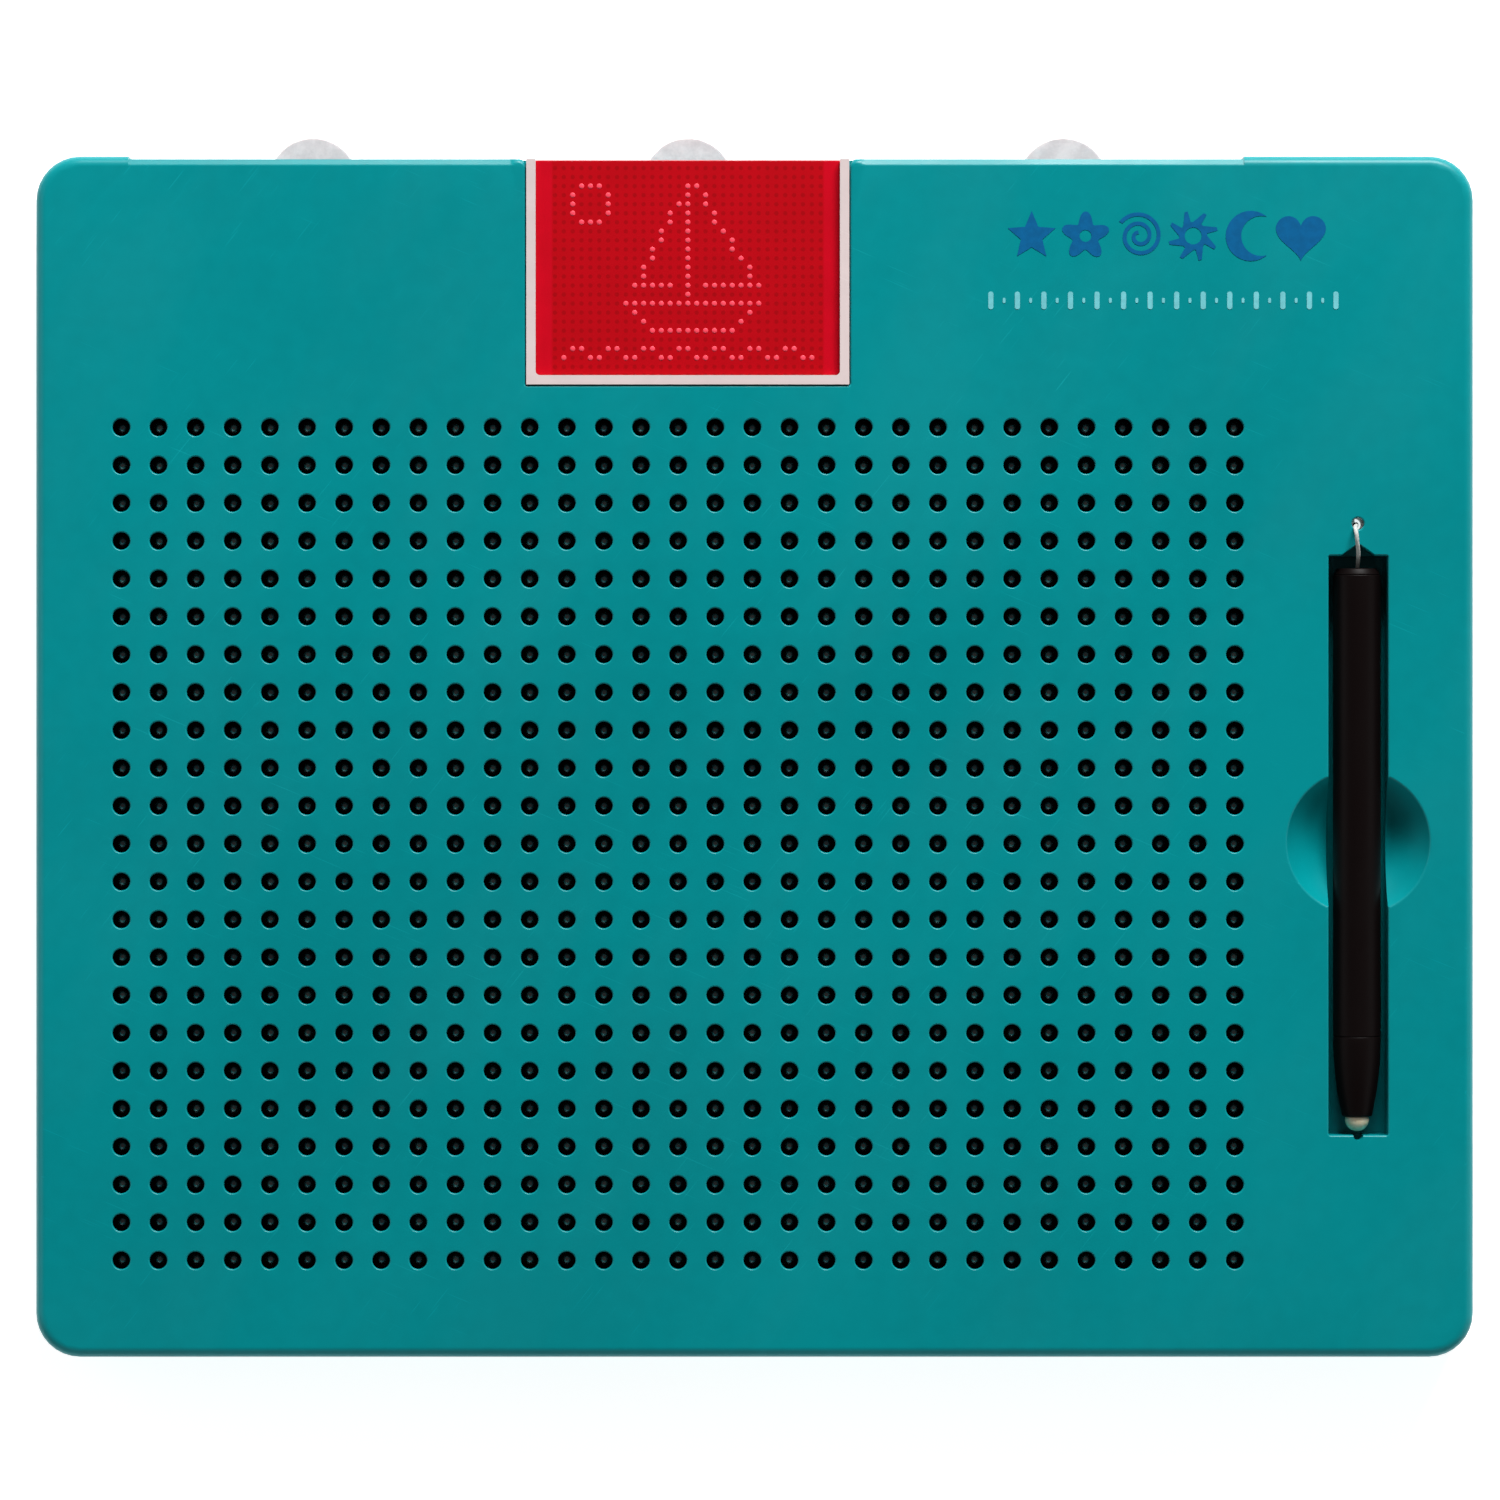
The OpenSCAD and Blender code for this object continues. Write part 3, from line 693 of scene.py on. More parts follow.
# %% Rim, walls and card pocket
shell = Skin()
points, outward, roll = outside
rim = []
for angle in np.radians(np.linspace(0, 90, 7)):
    shrink = (roll * (1 - math.sin(angle)))[:, None]
    heights = face_z - roll * (1 - math.cos(angle))
    rim.append(stepped([(x, y, z) for (x, y), z in zip(points - outward * shrink, heights)]))
shell.rings(rim + [stepped(level(points, pocket_floor))])
shell.add(*fill([[(x, y) for x, y, _ in stepped(level(outside_notch, 0))]], pocket_floor))

ease = 0.25 * mm
eased_in = {tuple(p): tuple(p - way * ease) for p, way in zip(points, outward)}
foot_ring = stepped([(*eased_in[p], part_z) for p in outside_plain], ease)
shell.rings([stepped(level(outside_plain, z)) for z in (pocket_floor, part_z + ease)] + [foot_ring])
shell.add(*fill([[(x, y) for x, y, _ in foot_ring], inside_plain], part_z))

ceiling_z, pocket_under = face_z - wall, pocket_floor - pocket_skin
shell.rings([level(inside_plain, z) for z in (part_z, pocket_under)])
shell.add(*fill([inside_notch], pocket_under))
shell.rings([level(inside[0], z) for z in (pocket_under, ceiling_z)])
print(f"rim {edge_r / mm} mm, pocket floor at {pocket_floor / mm:.1f} mm")

# %% [markdown]
# One tile is a square of face with a hole in the middle. Four corners and a ring of points are all
# it needs, because the face is flat. The hole's lip rolls over by a third of a millimetre, which
# catches the light as a thin bright arc, and its foot flares into the seat for a raised bead.

# %% The grid of holes
hole_r, lip, sides = 1.9 * mm, 0.35 * mm, 32
skin_z, seat_r, seat_h = face_z - 1.6 * mm, 2.1 * mm, 0.8 * mm
quarter_turn = np.radians((0, 22.5, 45, 67.5, 90))
hole_rings = [(hole_r + lip * (1 - math.sin(a)), face_z - lip * (1 - math.cos(a))) for a in quarter_turn]
hole_rings += [(hole_r - 0.02 * mm, skin_z + seat_h), (seat_r, skin_z)]
centres = [(first_x + c * pitch_x, first_y + r * pitch_y) for r in range(rows) for c in range(columns)]


def tile_faces():
    """Triangles from a tile's four corners, points 0 to 3, to the ring that follows them."""
    faces, quarter = [], sides // 4
    for corner in range(4):
        faces += [(corner, 4 + corner * quarter + k, 4 + (corner * quarter + k + 1) % sides)
                  for k in range(quarter)]
        faces.append((corner, 4 + (corner + 1) * quarter % sides, (corner + 1) % 4))
    return faces


one_tile = tile_faces()
tile_corners = ((1, 1), (-1, 1), (-1, -1), (1, -1))
for x, y in centres:
    square = [(x + sx * pitch_x / 2, y + sy * pitch_y / 2) for sx, sy in tile_corners]
    for radius, z in (hole_rings[0], hole_rings[-1]):
        shell.add(level(square + circle(x, y, radius, sides), z), one_tile)
    shell.rings([level(circle(x, y, radius, sides), z) for radius, z in hole_rings])

left, low = first_x - pitch_x / 2, first_y - pitch_y / 2
right, high = left + columns * pitch_x, low + rows * pitch_y
field_loop = ([(left + c * pitch_x, low) for c in range(columns)]
              + [(right, low + r * pitch_y) for r in range(rows)]
              + [(right - c * pitch_x, high) for c in range(columns)]
              + [(left, high - r * pitch_y) for r in range(rows)])
print(f"{len(centres)} holes, {len(shell.faces)} faces so far")

# %% [markdown]
# The tray is a long steep-sided channel with rounded floor corners, and the finger recess is a bowl
# across it. Where the two meet there is no simple ring of points, so a block is cut by solids
# shaped like the missing plastic. Each solid flares at the face, so the cut edges come out rolled.

# %% Solids that cut the tray
stylus_low, stylus_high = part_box("stylus_barrel")
stylus_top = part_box("stylus_end_plug")[1].y
tray_x = (stylus_low.x + stylus_high.x) / 2
tray_r, tray_floor, tray_bend = 6.4 * mm, face_z - 9.5 * mm, 2 * mm
tray_top, tray_end = board_y + 43.3 * mm, board_y - 81.6 * mm
dish_y, dish_r, dish_depth = board_y - 18.4 * mm, 15.5 * mm, 8.5 * mm
notch_w, notch_peak, notch_depth = 7.4, 2.3, 6 * mm
tray_wall, above = 1.5 * mm, face_z + 2 * mm


def channel():
    """The tray's hollow: a flat floor with rounded corners and straight sides, drawn out along Y."""
    corner = tray_r - tray_bend
    section = [(-tray_r, above)]
    for side_x, start in ((-corner, 180), (corner, 270)):
        section += [(side_x + tray_bend * math.cos(a), tray_floor + tray_bend * (1 + math.sin(a)))
                    for a in np.radians(np.linspace(start, start + 90, 9))]
    section.append((tray_r, above))
    skin = Skin()
    ends = [[(tray_x + x, y, z) for x, z in section] for y in (tray_end, tray_top)]
    skin.rings(ends)
    for end in ends:
        skin.add(end, [range(len(end))])
    return skin


def flare(roll, corner):
    """The rolled edge round the tray's mouth, as a solid that widens upwards."""
    skin, rings = Skin(), []
    levels = [(-0.05 * mm, -roll - 0.3 * mm), (0.0, -roll)]
    levels += [(roll * (1 - math.cos(a)), roll * (math.sin(a) - 1))
               for a in np.radians((15, 30, 45, 60, 75))]
    levels += [(roll * 1.02, 0.02 * mm), (roll * 1.02, above - face_z)]
    for grow, rise in levels:
        x = tray_r + grow
        path, _, _ = rounded_box((tray_x - x, tray_end - grow), (tray_x + x, tray_top + grow),
                                 corner + max(grow, 0.0), step=1.0)
        rings.append(level(path, face_z + rise))
    skin.rings(rings)
    for ring in (rings[0], rings[-1]):
        skin.add(ring, [range(len(ring))])
    return skin


def turned(profile, around=96):
    """A solid from a profile of (radius, z) turned about the recess's middle."""
    skin = Skin()
    rings = [level(circle(tray_x, dish_y, max(r, 0.001 * mm), around), z) for r, z in profile]
    skin.rings(rings)
    for ring in (rings[0], rings[-1]):
        skin.add(ring, [range(around)])
    return skin


def bowl(roll):
    """The finger recess: part of a ball, with its mouth rolled over."""
    ball = (dish_r ** 2 + dish_depth ** 2) / (2 * dish_depth)
    ball_z = face_z - dish_depth + ball
    rise = ball_z - (face_z - roll)
    mouth = math.sqrt((ball + roll) ** 2 - rise ** 2)
    slope = math.atan2(mouth, rise)
    profile = [(ball * math.sin(a), ball_z - ball * math.cos(a))
               for a in np.linspace(0.0, slope, 22)]
    profile += [(mouth - roll * math.sin(a), face_z - roll + roll * math.cos(a))
                for a in np.linspace(slope, 0.12, 5)[1:]]
    return turned(profile + [(mouth + 0.05 * mm, face_z + 0.02 * mm), (mouth + 0.05 * mm, above)])


def peak():
    """The little gabled notch where the cord runs into the tray."""
    skin = Skin()
    half, flat = notch_w / 2, 0.5
    outline = [(-half, -1), (half, -1), (half, 0), (flat, notch_peak), (-flat, notch_peak), (-half, 0)]
    levels = ((face_z - notch_depth, 1.0), (face_z - 0.25 * mm, 1.0),
              (face_z + 0.02 * mm, 1.09), (above, 1.09))
    rings = [[(tray_x + x * grow * mm, tray_top + y * grow * mm, z) for x, y in outline]
             for z, grow in levels]
    skin.rings(rings)
    for ring in (rings[0], rings[-1]):
        skin.add(ring, [range(len(ring))])
    return skin


def nib_relief():
    skin = Skin()
    skin.prism(circle(tray_x, tray_end, 1.1 * mm, 24), tray_floor + 3 * mm, above)
    return skin


print("cutters:", [f.__name__ for f in (channel, flare, bowl, peak, nib_relief)])

# %% [markdown]
# The block is cross-shaped in plan, wide only where the bowl is, so that it stays clear of the
# screw post beside it. After the cuts its upper sides are taken away, because there it meets the
# face, and its lower sides stay as the walls of the tray inside the case.

# %% Cut the tray block and add it to the shell
narrow, wide, block_floor = tray_r + tray_wall, 17.6 * mm, tray_floor - tray_wall
block_top, block_end = tray_top + 3.6 * mm, tray_end - 2.4 * mm
block_loop = [(tray_x + x, y) for x, y in (
    (narrow, block_top), (-narrow, block_top), (-narrow, dish_y + wide), (-wide, dish_y + wide),
    (-wide, dish_y - wide), (-narrow, dish_y - wide), (-narrow, block_end), (narrow, block_end),
    (narrow, dish_y - wide), (wide, dish_y - wide), (wide, dish_y + wide), (narrow, dish_y + wide))]
block_skin, fine = Skin(), 0.0005 * mm
for z in (block_floor, face_z):
    block_skin.add(level(block_loop, z), [range(len(block_loop))])
block_skin.rings([level(block_loop, z) for z in (block_floor, ceiling_z, face_z)])
block, _ = welded("tray_block", block_skin, fine)
cutters = [welded(f.__name__, f(*sizes), fine)[0] for f, sizes in (
    (channel, ()), (bowl, (0.7 * mm,)), (flare, (0.45 * mm, 0.5 * mm)), (peak, ()), (nib_relief, ()))]
for cutter in cutters:
    cut = block.modifiers.new(cutter.name, "BOOLEAN")
    cut.operation, cut.solver, cut.object = "DIFFERENCE", "EXACT", cutter
bpy.context.view_layer.update()
result = block.evaluated_get(bpy.context.evaluated_depsgraph_get()).to_mesh()
block_points = [tuple(v.co) for v in result.vertices]


def on_side(face):
    """True for a face of the block's side above the ceiling."""
    spots = [block_points[i] for i in face]
    on_corners = all(min(math.hypot(x - a, y - b) for a, b in block_loop) < 0.01 * mm for x, y, _ in spots)
    heights = {round(z, 5) for *_, z in spots}
    return on_corners and min(z for *_, z in spots) > ceiling_z - 0.01 * mm and len(heights) > 1


kept_faces = [list(p.vertices) for p in result.polygons if not on_side(p.vertices)]
dropped = len(result.polygons) - len(kept_faces)
used = sorted({i for face in kept_faces for i in face})
renumber = {old: new for new, old in enumerate(used)}
shell.add([block_points[i] for i in used], [[renumber[i] for i in face] for face in kept_faces])
for made in [block, *cutters]:
    bpy.data.objects.remove(made)
print(f"tray block: {len(kept_faces)} faces kept, {dropped} side faces dropped")

# %% [markdown]
# What is left is flat: the face round the field, tray and eyelet, and the ceiling inside, with its
# recess for the plates behind the holes. Ten posts stand on the ceiling for the screws, and a
# short guide tube leads the cord down from the eyelet.

# %% Face, ceiling, posts and eyelet
def ring_stack(x, y, stack, around=32, capped=False):
    """Rings of (radius, z) about a place, and the last one closed over if capped."""
    rings = [level(circle(x, y, r, around), z) for r, z in stack]
    shell.rings(rings)
    if capped:
        cap = [(k, (k + 1) % around, around) for k in range(around)]
        shell.add([*rings[-1], (x, y, stack[-1][1])], cap)


eyelet_r, eyelet_lip, guide_r = 1.3 * mm, 0.4 * mm, 2.8 * mm
guide_end = 9.1 * mm
ring_stack(eyelet.x, eyelet.y,
           [(eyelet_r + eyelet_lip * (1 - math.sin(a)), face_z - eyelet_lip * (1 - math.cos(a)))
            for a in quarter_turn]
           + [(eyelet_r, guide_end), (guide_r, guide_end), (guide_r, ceiling_z)])

post_r, post_bore, post_foot, bore_end = 3.3 * mm, 1.25 * mm, part_z + 0.1 * mm, part_z + 5.6 * mm
screw_places = [(sx * 147.5 * mm, board_y + y * mm) for sx in (-1, 1) for y in (-122, 12, 122)]
screw_places += [(sx * 80 * mm, board_y + y * mm) for sx in (-1, 1) for y in (-122, 122)]
post = [(post_r, ceiling_z), (post_r, post_foot), (post_bore, post_foot), (post_bore, bore_end)]
for x, y in screw_places:
    ring_stack(x, y, post, capped=True)

plate_low, plate_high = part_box("cell_plate")
spare = Vector((0.4 * mm, 0.4 * mm, 0))
recess, _, _ = rounded_box(plate_low - spare, plate_high + spare, 2.4 * mm)
shell.rings([level(recess, z) for z in (ceiling_z, skin_z)])
shell.add(*fill([recess, field_loop], skin_z))
shell.add(*fill([inside[0], recess, block_loop, circle(eyelet.x, eyelet.y, guide_r, 32),
                 *[circle(x, y, post_r, 32) for x, y in screw_places]], ceiling_z))
face_loop = [(x, y) for x, y, _ in rim[0]]
shell.add(*fill([face_loop, field_loop, block_loop,
                 circle(eyelet.x, eyelet.y, eyelet_r + eyelet_lip, 32)], face_z))
piece("front_cover_shell", shell, teal_face, "root", ["front_cover"])

# %% [markdown]
# The stylus is a stack of turned parts: an end plug with the cord's hole, a plain tube, a nose
# that curves in towards the tip, and a domed nib. Each is a closed profile spun about the stylus's
# own line, with its corners rounded in the profile, so the joints between parts show as fine rings.

# %% Stylus pieces
axis_z = (stylus_low.z + stylus_high.z) / 2
body_r, bore_r, stem_bore, nose_start, nib_seat = 5.15, 3.9, 2.1, 101.0, 118.4


def turned_part(profile, around=72):
    """A closed profile of (along, radius, rounding) in mm, spun about the stylus's line."""
    corners = [(a * mm, r * mm, ease * mm, 0) for a, r, ease in profile]
    path, _, _ = rounded_path(corners, step=40 * mm, turn=math.radians(18))
    skin = Skin()
    skin.rings([[(tray_x + r * math.cos(t), stylus_top - a, axis_z + r * math.sin(t))
                 for t in np.linspace(0, 2 * math.pi, around, endpoint=False)] for a, r in [*path, path[0]]])
    return skin


def nose_profile():
    """From the barrel's end to the nib's seat, the outside following one long arc."""
    end, tip_r = nib_seat - 0.1, 3.2
    length, drop = end - nose_start, body_r - tip_r
    bow = (length ** 2 + drop ** 2) / (2 * drop)
    curve = [(nose_start + s, body_r - bow + math.sqrt(bow ** 2 - s ** 2), 0)
             for s in np.linspace(1.2, length - 0.9, 12)]
    joint = nose_start + 0.05
    return [(95, 3.8, 0.3), (95, 2.3, 0.2), (113.9, 2.3, 0), (113.9, stem_bore, 0), (end, stem_bore, 0.15),
            (end, tip_r, 0.55), *reversed(curve), (joint, body_r, 0.22), (joint, 3.85, 0)]


plug_profile = [(0, 0.8, 0.2), (7.4, 0.8, 0), (7.4, 3.85, 0.3), (1.4, 3.85, 0),
                (1.4, 5.13, 0.15), (0, 4.45, 0.5)]
tube_profile = [(1.45, bore_r, 0.1), (nose_start, bore_r, 0.1),
                (nose_start, body_r, 0.22), (1.45, body_r, 0.22)]
dome_r = 2.6
nib_dome = [(nib_seat + 0.5 + dome_r * math.sin(a), dome_r * math.cos(a), 0)
            for a in np.radians(np.linspace(0, 88, 16))]
nib_profile = [(114.1, 0.05, 0), (114.1, 2.05, 0.3), (nib_seat, 2.05, 0), (nib_seat, 2.5, 0.2),
               *nib_dome, (121.5, 0.05, 0)]
for name, profile, finish, slot_name in (
        ("stylus_end_plug", plug_profile, stylus_black, "stylus_black"),
        ("stylus_barrel", tube_profile, stylus_black, "stylus_black"),
        ("stylus_nose", nose_profile(), stylus_black, "stylus_black"),
        ("stylus_nib", nib_profile, nylon, "nib_cream")):
    piece(name + "_turned", turned_part(profile), finish, "stylus", [name], crease=28)

# %% [markdown]
# The feet and the three bumpers at the top edge are the same soft stick-on disc. It is turned too:
# flat where it is glued, rolled at its rim, and slightly hollow underneath so that it grips.

# %% Feet and bumpers
foot_r = 9.8 * mm
foot_low, foot_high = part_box("corner_feet")
foot_h = foot_high.z - foot_low.z


def disc(skin, x, y):
    """A soft disc: hollow underneath, with a wide roll at the bottom rim and a tight one at the top."""
    low, roll, ease = foot_low.z, 0.8 * mm, 0.3 * mm
    profile = [(0.0, low + 0.25 * mm), (6.0 * mm, low + 0.25 * mm), (6.6 * mm, low)]
    profile += [(foot_r - roll * (1 - math.sin(a)), low + roll * (1 - math.cos(a)))
                for a in np.radians(np.linspace(0, 90, 7))]
    profile += [(foot_r - ease * (1 - math.cos(a)), low + foot_h - ease * (1 - math.sin(a)))
                for a in np.radians(np.linspace(0, 90, 4))]
    profile.append((0.0, low + foot_h))
    skin.rings([level(circle(x, y, max(r, 0.0005 * mm), 64), z) for r, z in profile])


feet = Skin()
for x in (foot_low.x + foot_r, foot_high.x - foot_r):
    for y in (foot_low.y + foot_r, foot_high.y - foot_r):
        disc(feet, x, y)
piece("corner_feet_discs", feet, foot_rubber, "root", ["corner_feet"])
for side_name in ("left", "middle", "right"):
    low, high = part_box("bumper_" + side_name)
    pad = Skin()
    disc(pad, (low.x + high.x) / 2, high.y - foot_r)
    piece(f"bumper_{side_name}_disc", pad, foot_rubber, "root", ["bumper_" + side_name])

# %% [markdown]
# The card shows the board itself with a drawing on it: a red field, a grid of small dark dots where
# beads are down, and bright dots where they are up. The drawing here is a plain sailing boat. Each
# bright dot is a small raised dome of ink, and the grid between them is printed in the material.

# %% Picture card
card_low, card_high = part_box("picture_card")
card_z = card_high.z
dot_pitch = 1.91 * mm
dot_rows_pitch = dot_pitch * pitch_y / pitch_x
card_x = (card_low.x + card_high.x) / 2
window_y = (holder_low.y + 2 * mm + holder_high.y) / 2


def card_red():
    """Printed red board: a fine grid of darker dots on a field, with plain margins."""
    finish = Finish("card_red", {"IOR": 1.5, "Specular IOR Level": 0.2})
    across, along = finish.axis(0), finish.axis(1)
    near_x = finish.node("ShaderNodeMath", {"operation": "PINGPONG"},
                         {0: across * (1 / dot_pitch) + (0.5 - card_x / dot_pitch + 40), 1: 0.5})
    near_y = finish.node("ShaderNodeMath", {"operation": "PINGPONG"},
                         {0: along * (1 / dot_rows_pitch) + (0.5 - window_y / dot_rows_pitch + 80), 1: 0.5})
    off_x = 0.5 - Signal(finish, near_x.outputs[0])
    off_y = 0.5 - Signal(finish, near_y.outputs[0])
    dots = 1 - (off_x * off_x + off_y * off_y).between(0.03, 0.09)
    from_middle = finish.node("ShaderNodeMath", {"operation": "ABSOLUTE"}, {0: across - card_x})
    field = 1 - Signal(finish, from_middle.outputs[0]).between(29.0 * mm, 29.6 * mm)
    cloud = finish.noise(9 * mm, 3.0)
    screen = finish.noise(0.25 * mm, 1.0)
    base = finish.mix(field, srgb(192, 0, 26), srgb(177, 0, 15))
    shaded = finish.mix(cloud.between(0.3, 0.7) * 0.25, base, srgb(156, 0, 10))
    finish.feed("Base Color", finish.mix(dots * field * 0.55, shaded, srgb(136, 0, 6)))
    finish.feed("Roughness", 0.32 + screen * 0.12)
    finish.relief(screen, 0.002 * mm)
    return finish


def raised_ink(name, colour, rough=0.4):
    finish = Finish(name, {"IOR": 1.48, "Specular IOR Level": 0.2})
    cloud = finish.noise(1.5 * mm, 3.0)
    speck = finish.noise(0.2 * mm, 2.0)
    finish.feed("Base Color", finish.mix(cloud.between(0.3, 0.7), tinted(colour, 0.92), tinted(colour, 1.08)))
    finish.feed("Roughness", rough + speck * 0.12)
    finish.relief(speck, 0.004 * mm)
    return finish


def boat_dots():
    """The cells (column, row) of a 31 by 23 grid that a plain sailing boat, sun and waves light up."""
    deck, keel = {(c, 7) for c in range(8, 24)}, {(c, 4) for c in range(11, 21)}
    bow_and_stern = {(8 + k, 7 - k) for k in range(4)} | {(23 - k, 7 - k) for k in range(4)}
    mast, waves = {(15, r) for r in range(8, 21)}, {(c, 1 + (c // 2) % 2) for c in range(1, 30)}
    main_sail = {(16 + round((20 - r) * 0.62), r) for r in range(10, 21)} | {(c, 9) for c in range(17, 24)}
    fore_sail = {(14 - round((18 - r) * 0.55), r) for r in range(10, 19)} | {(c, 9) for c in range(9, 14)}
    sun_quarter = ((2, 0), (2, 1), (1, 2), (0, 2))
    sun_ring = {(4 + sx * a, 18 + sy * b) for a, b in sun_quarter for sx in (-1, 1) for sy in (-1, 1)}
    return sorted(deck | keel | bow_and_stern | mast | waves | main_sail | fore_sail | sun_ring)


plate = Skin()
card_points, card_outward, _ = rounded_box(card_low, card_high, 1 * mm)
card_ease = 0.2 * mm
card_levels = [(a, card_z - card_ease) for a in (0, 22.5, 45, 67.5, 90)]
card_levels += [(a, card_low.z) for a in (90, 112.5, 135, 157.5, 180)]
card_rings = []
for angle, middle in card_levels:
    shrink = card_ease * (1 - math.sin(math.radians(angle)))
    card_rings.append(level(card_points - card_outward * shrink,
                            middle + card_ease * math.cos(math.radians(angle))))
plate.rings(card_rings)
for ring in (card_rings[0], card_rings[-1]):
    plate.add(*fill([[(x, y) for x, y, _ in ring]], ring[0][2]))
piece("picture_card_plate", plate, card_red(), "card", ["picture_card"])

dots, dot_r, dot_sides = Skin(), 0.56, 16
dome = [(dot_r, -0.03), (dot_r, 0.04), (dot_r * 0.83, 0.10), (dot_r * 0.5, 0.14), (0.0005, 0.155)]
for column, row in boat_dots():
    x = card_x + (column - columns // 2) * dot_pitch
    y = window_y + (row - rows // 2) * dot_rows_pitch
    rings = [level(circle(x, y, r * mm, dot_sides), card_z + z * mm) for r, z in dome]
    dots.rings(rings)
    dots.add(rings[0], [range(dot_sides)])
piece("picture_card_dots", dots, raised_ink("card_dots", srgb(238, 72, 90)), "card", crease=50)

# %% [markdown]
# Two printed lines sit at the right of the card: a row of blue doodles with a row of small pale
# marks under it. They are plain shapes a child might draw, each from a short formula, printed as a
# thin film of ink that stands a few hundredths of a millimetre proud of the face.

# %% Printed doodles
def star(size):
    reach = (1.0, 0.45)
    return [[(size * reach[k % 2] * math.sin(math.pi * k / 5),
              size * reach[k % 2] * math.cos(math.pi * k / 5)) for k in range(9, -1, -1)]]


def flower(size):
    petals = [(size * (0.76 + 0.22 * math.cos(5 * t)) * math.cos(t + 0.3),
               size * (0.76 + 0.22 * math.cos(5 * t)) * math.sin(t + 0.3))
              for t in np.linspace(0, 2 * math.pi, 60, endpoint=False)]
    return [petals, circle(0, 0, size * 0.24, 20)]


def spiral(size, turns=2.4, band=0.13):
    """One band that winds out from the middle."""
    outer, inner = [[(size * (s + offset) * 0.88 * math.cos(2 * math.pi * turns * s),
                      size * (s + offset) * 0.88 * math.sin(2 * math.pi * turns * s))
                     for s in np.linspace(0.12, 1.0, 70)] for offset in (band, -band * 0.35)]
    return [outer + inner[::-1]]


def sun(size, rays=8):
    points = []
    for k in range(rays * 4):
        reach = (0.56, 0.56, 1.0, 1.0)[k % 4]
        angle = 2 * math.pi * (k // 4) / rays + (-0.13, 0.0, 0.09, 0.22)[k % 4] + 0.13
        if k % 4 == 1:
            angle += 0.05
        points.append((size * reach * math.cos(angle), size * reach * math.sin(angle)))
    return [points, circle(0, 0, size * 0.34, 24)]


def crescent(size):
    outer = [(size * (0.15 + math.cos(t)), size * math.sin(t))
             for t in np.linspace(0.9, 2 * math.pi - 0.9, 40)]
    inner = [(size * (0.57 + 0.80 * math.cos(t)), size * 0.80 * math.sin(t))
             for t in np.linspace(2 * math.pi - 1.35, 1.35, 32)]
    return [outer + inner]


def heart(size):
    return [[(size * math.sin(t) ** 3, size * (0.81 * math.cos(t) - 0.31 * math.cos(2 * t)
             - 0.125 * math.cos(3 * t) - 0.06 * math.cos(4 * t) + 0.05))
             for t in np.linspace(2 * math.pi, 0, 50, endpoint=False)]]


film_low, film_top = face_z - 0.02 * mm, face_z + 0.08 * mm
doodles = Skin()
doodle_x, doodle_y, doodle_size, doodle_gap = 59.7 * mm, board_y + 112.2 * mm, 5.4 * mm, 11.6 * mm
for k, shape in enumerate((star, flower, spiral, sun, crescent, heart)):
    x = doodle_x + k * doodle_gap
    loops = [[(x + px, doodle_y + py) for px, py in loop] for loop in shape(doodle_size)]
    doodles.prism(loops[0], film_low, film_top, loops[1:])
piece("doodle_print", doodles, raised_ink("blue_ink", srgb(0, 86, 136)), "root", crease=30)

marks = Skin()
mark_x, mark_y, mark_gap = 50.9 * mm, board_y + 98.3 * mm, 2.86 * mm
for k in range(27):
    x = mark_x + k * mark_gap
    half, tall = (0.3025 * mm, 0.55 * mm) if k % 2 else (0.55 * mm, 1.9 * mm)
    path, _, _ = rounded_box((x - half, mark_y - tall), (x + half, mark_y + tall), half / 1.1)
    marks.prism([tuple(p) for p in path], film_low, film_top)
pale_ink = raised_ink("pale_ink", srgb(106, 184, 191))
piece("dotted_line_print", marks, pale_ink, "root", crease=30)

# %% [markdown]
# The remaining parts keep their CAD shapes: the white holder, the back shell, the plates, the
# screws, the magnet and all the beads. A bevel with a small angle limit breaks the sharp edges of
# the machined-looking ones, and each takes the finish of what it is made of.

# %% Dress the CAD nodes
def dress(name, finish, bevel=0.0):
    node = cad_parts[name]
    if not node.material_slots:
        node.data.materials.append(finish.material)
    for place in node.material_slots:
        place.material = finish.material
    if bevel:
        edge = node.modifiers.new("broken_edges", "BEVEL")
        edge.width, edge.segments, edge.limit_method = bevel, 3, "ANGLE"
        edge.angle_limit = math.radians(40)
        edge.use_clamp_overlap = True
        even = node.modifiers.new("even_shading", "WEIGHTED_NORMAL")
        even.keep_sharp = True


for row in range(1, rows + 1):
    dress(f"bead_row_{row:02d}", steel)
dress("card_frame", frame_white, 0.3 * mm)
dress("back_cover", teal_back, 0.2 * mm)
dress("retainer_sheet", grip_sheet)
dress("cell_plate", black_plate)
dress("floor_sheet", black_plate, 0.1 * mm)
dress("case_screws", zinc, 0.15 * mm)
dress("stylus_magnet", nickel, 0.2 * mm)
print("dressed", rows + 7, "CAD nodes")

# %% [markdown]
# The stage is a plain white light table. One large soft panel beyond the top right corner does
# most of the work: it brightens the rolled top edge, draws the thin arcs on the lower lips of the
# holes and shades the finger recess. The table glows a little, so that the shadows stay pale, and
# the dome above is dim, so that the beads deep in their holes stay nearly black.

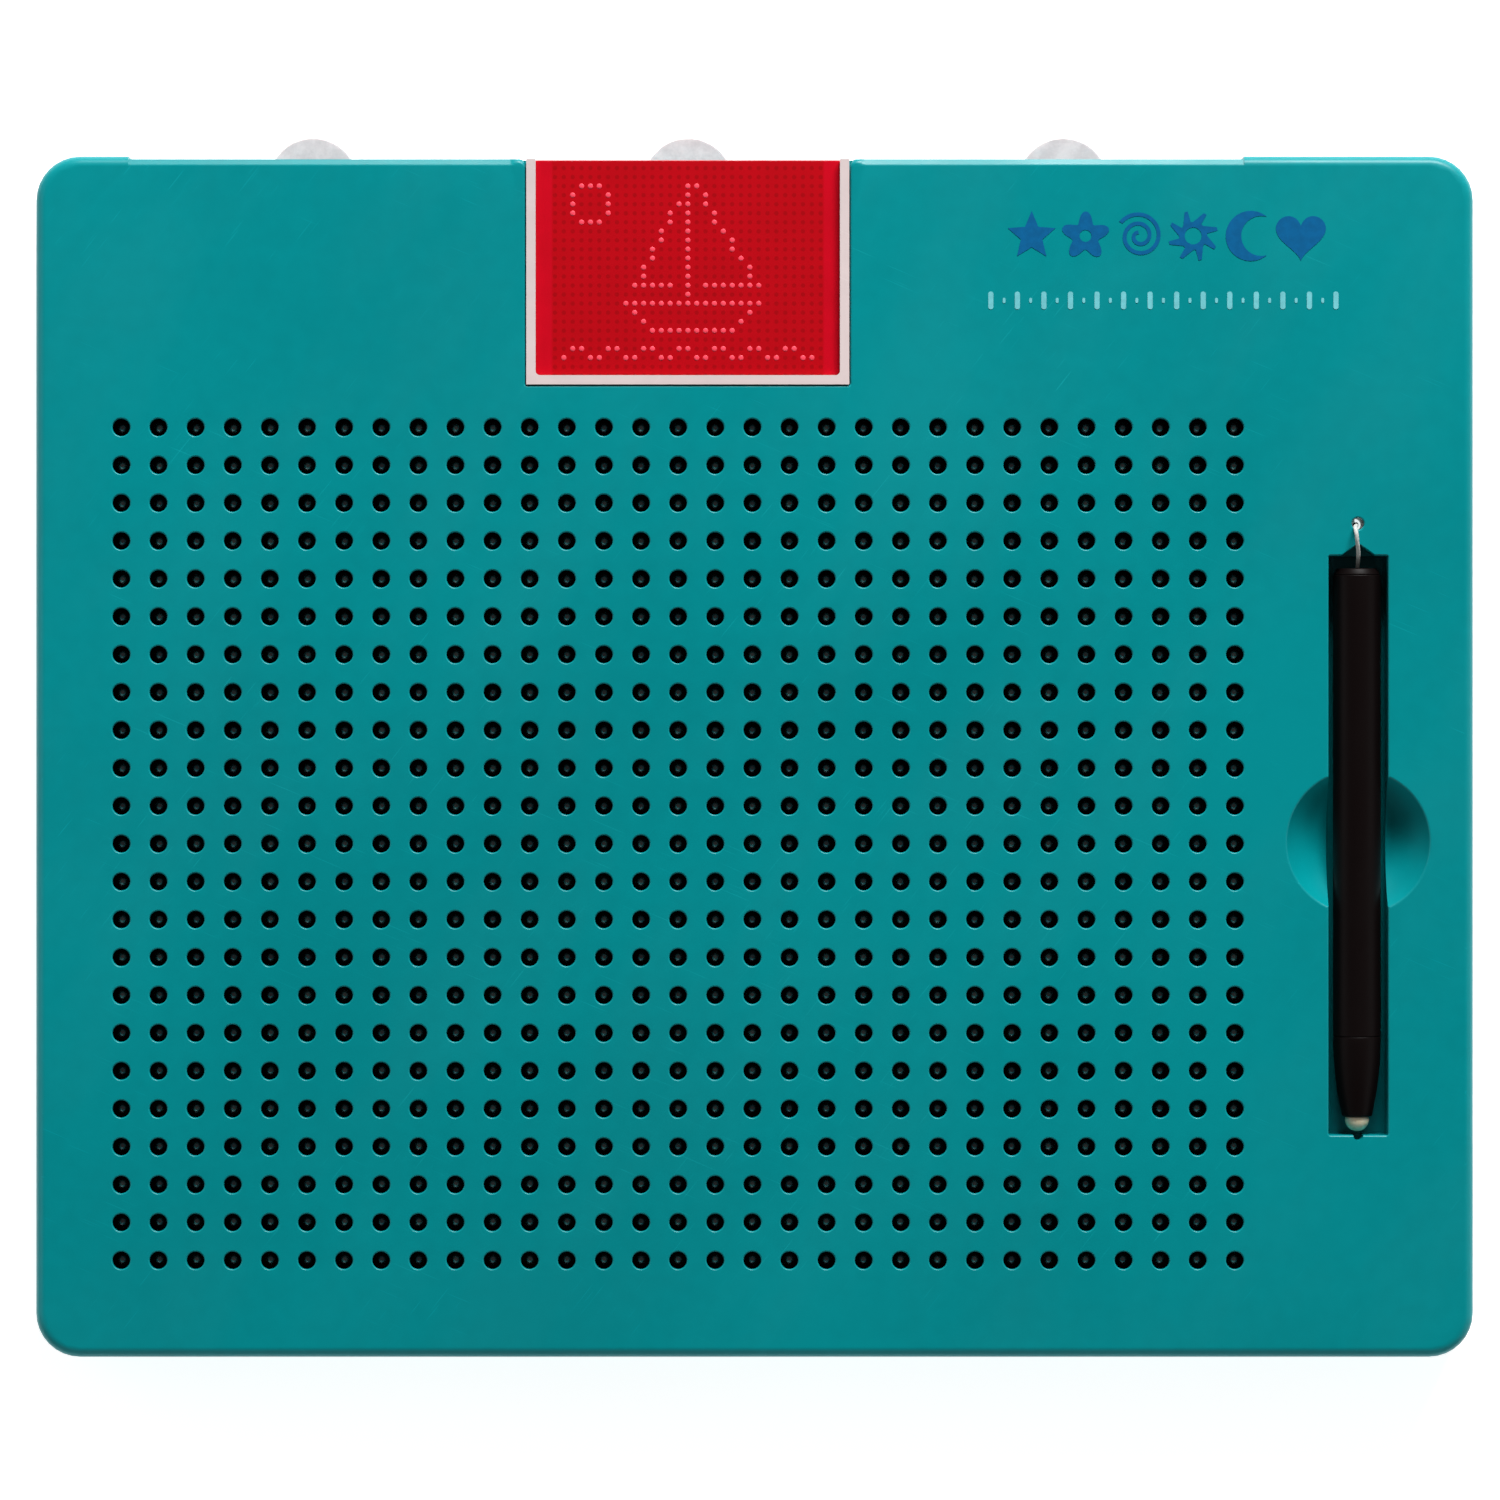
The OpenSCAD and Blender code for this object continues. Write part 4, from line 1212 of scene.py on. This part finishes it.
# %% Floor
def pale_floor():
    finish = Finish("pale_floor", {"Specular IOR Level": 0.2, "Emission Strength": 0.8})
    cloud = finish.noise(400 * mm, 3.0)
    fine = finish.noise(3 * mm, 3.0)
    white = finish.mix(cloud, srgb(243, 243, 243), srgb(249, 249, 249))
    finish.feed("Base Color", white)
    finish.feed("Emission Color", white)
    finish.feed("Roughness", 0.6 + fine * 0.1)
    return finish


bpy.ops.mesh.primitive_grid_add(x_subdivisions=8, y_subdivisions=8, size=8.0)
floor = bpy.context.object
floor.name = "floor"
floor.data.materials.append(pale_floor().material)
floor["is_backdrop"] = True

# %% Lights
def panel(name, place, width, height, power, colour=(1, 1, 1)):
    light = bpy.data.lights.new(name, "AREA")
    light.shape, light.size, light.size_y = "RECTANGLE", width, height
    light.energy, light.color = power, colour
    made = bpy.data.objects.new(name, light)
    scene.collection.objects.link(made)
    made.location = place
    made.rotation_mode = "QUATERNION"
    made.rotation_quaternion = (Vector((0, 0, 0.01)) - Vector(place)).to_track_quat("-Z", "Y")


panel("key_panel", (0.42, 1.7, 0.9), 1.1, 0.5, 75.0)
panel("left_panel", (-0.6, 0.0, 0.3), 0.6, 0.3, 0.5)
panel("right_panel", (0.7, -0.2, 0.3), 0.6, 0.3, 0.4)
panel("front_panel", (0.0, -0.55, 0.3), 0.8, 0.3, 0.4)

world = bpy.data.worlds.new("studio")
scene.world = world
world.use_nodes = True
sky = world.node_tree
direction = sky.nodes.new("ShaderNodeTexCoord")
split = sky.nodes.new("ShaderNodeSeparateXYZ")
fade = sky.nodes.new("ShaderNodeMapRange")
fade.inputs["From Min"].default_value, fade.inputs["From Max"].default_value = 0.2, 0.95
fade.inputs["To Min"].default_value, fade.inputs["To Max"].default_value = 0.36, 0.06
sky.links.new(direction.outputs["Generated"], split.inputs[0])
sky.links.new(split.outputs[2], fade.inputs["Value"])
sky.links.new(fade.outputs[0], sky.nodes["Background"].inputs["Strength"])
sky.nodes["Background"].inputs["Color"].default_value = (1, 1, 1, 1)
scene.view_settings.view_transform = "Standard"

# %% [markdown]
# Last come the sizes, which have to match the CAD box.

# %% Print the sizes
low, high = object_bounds()
print("visual box in mm:", [round(1000 * v, 1) for v in high - low])
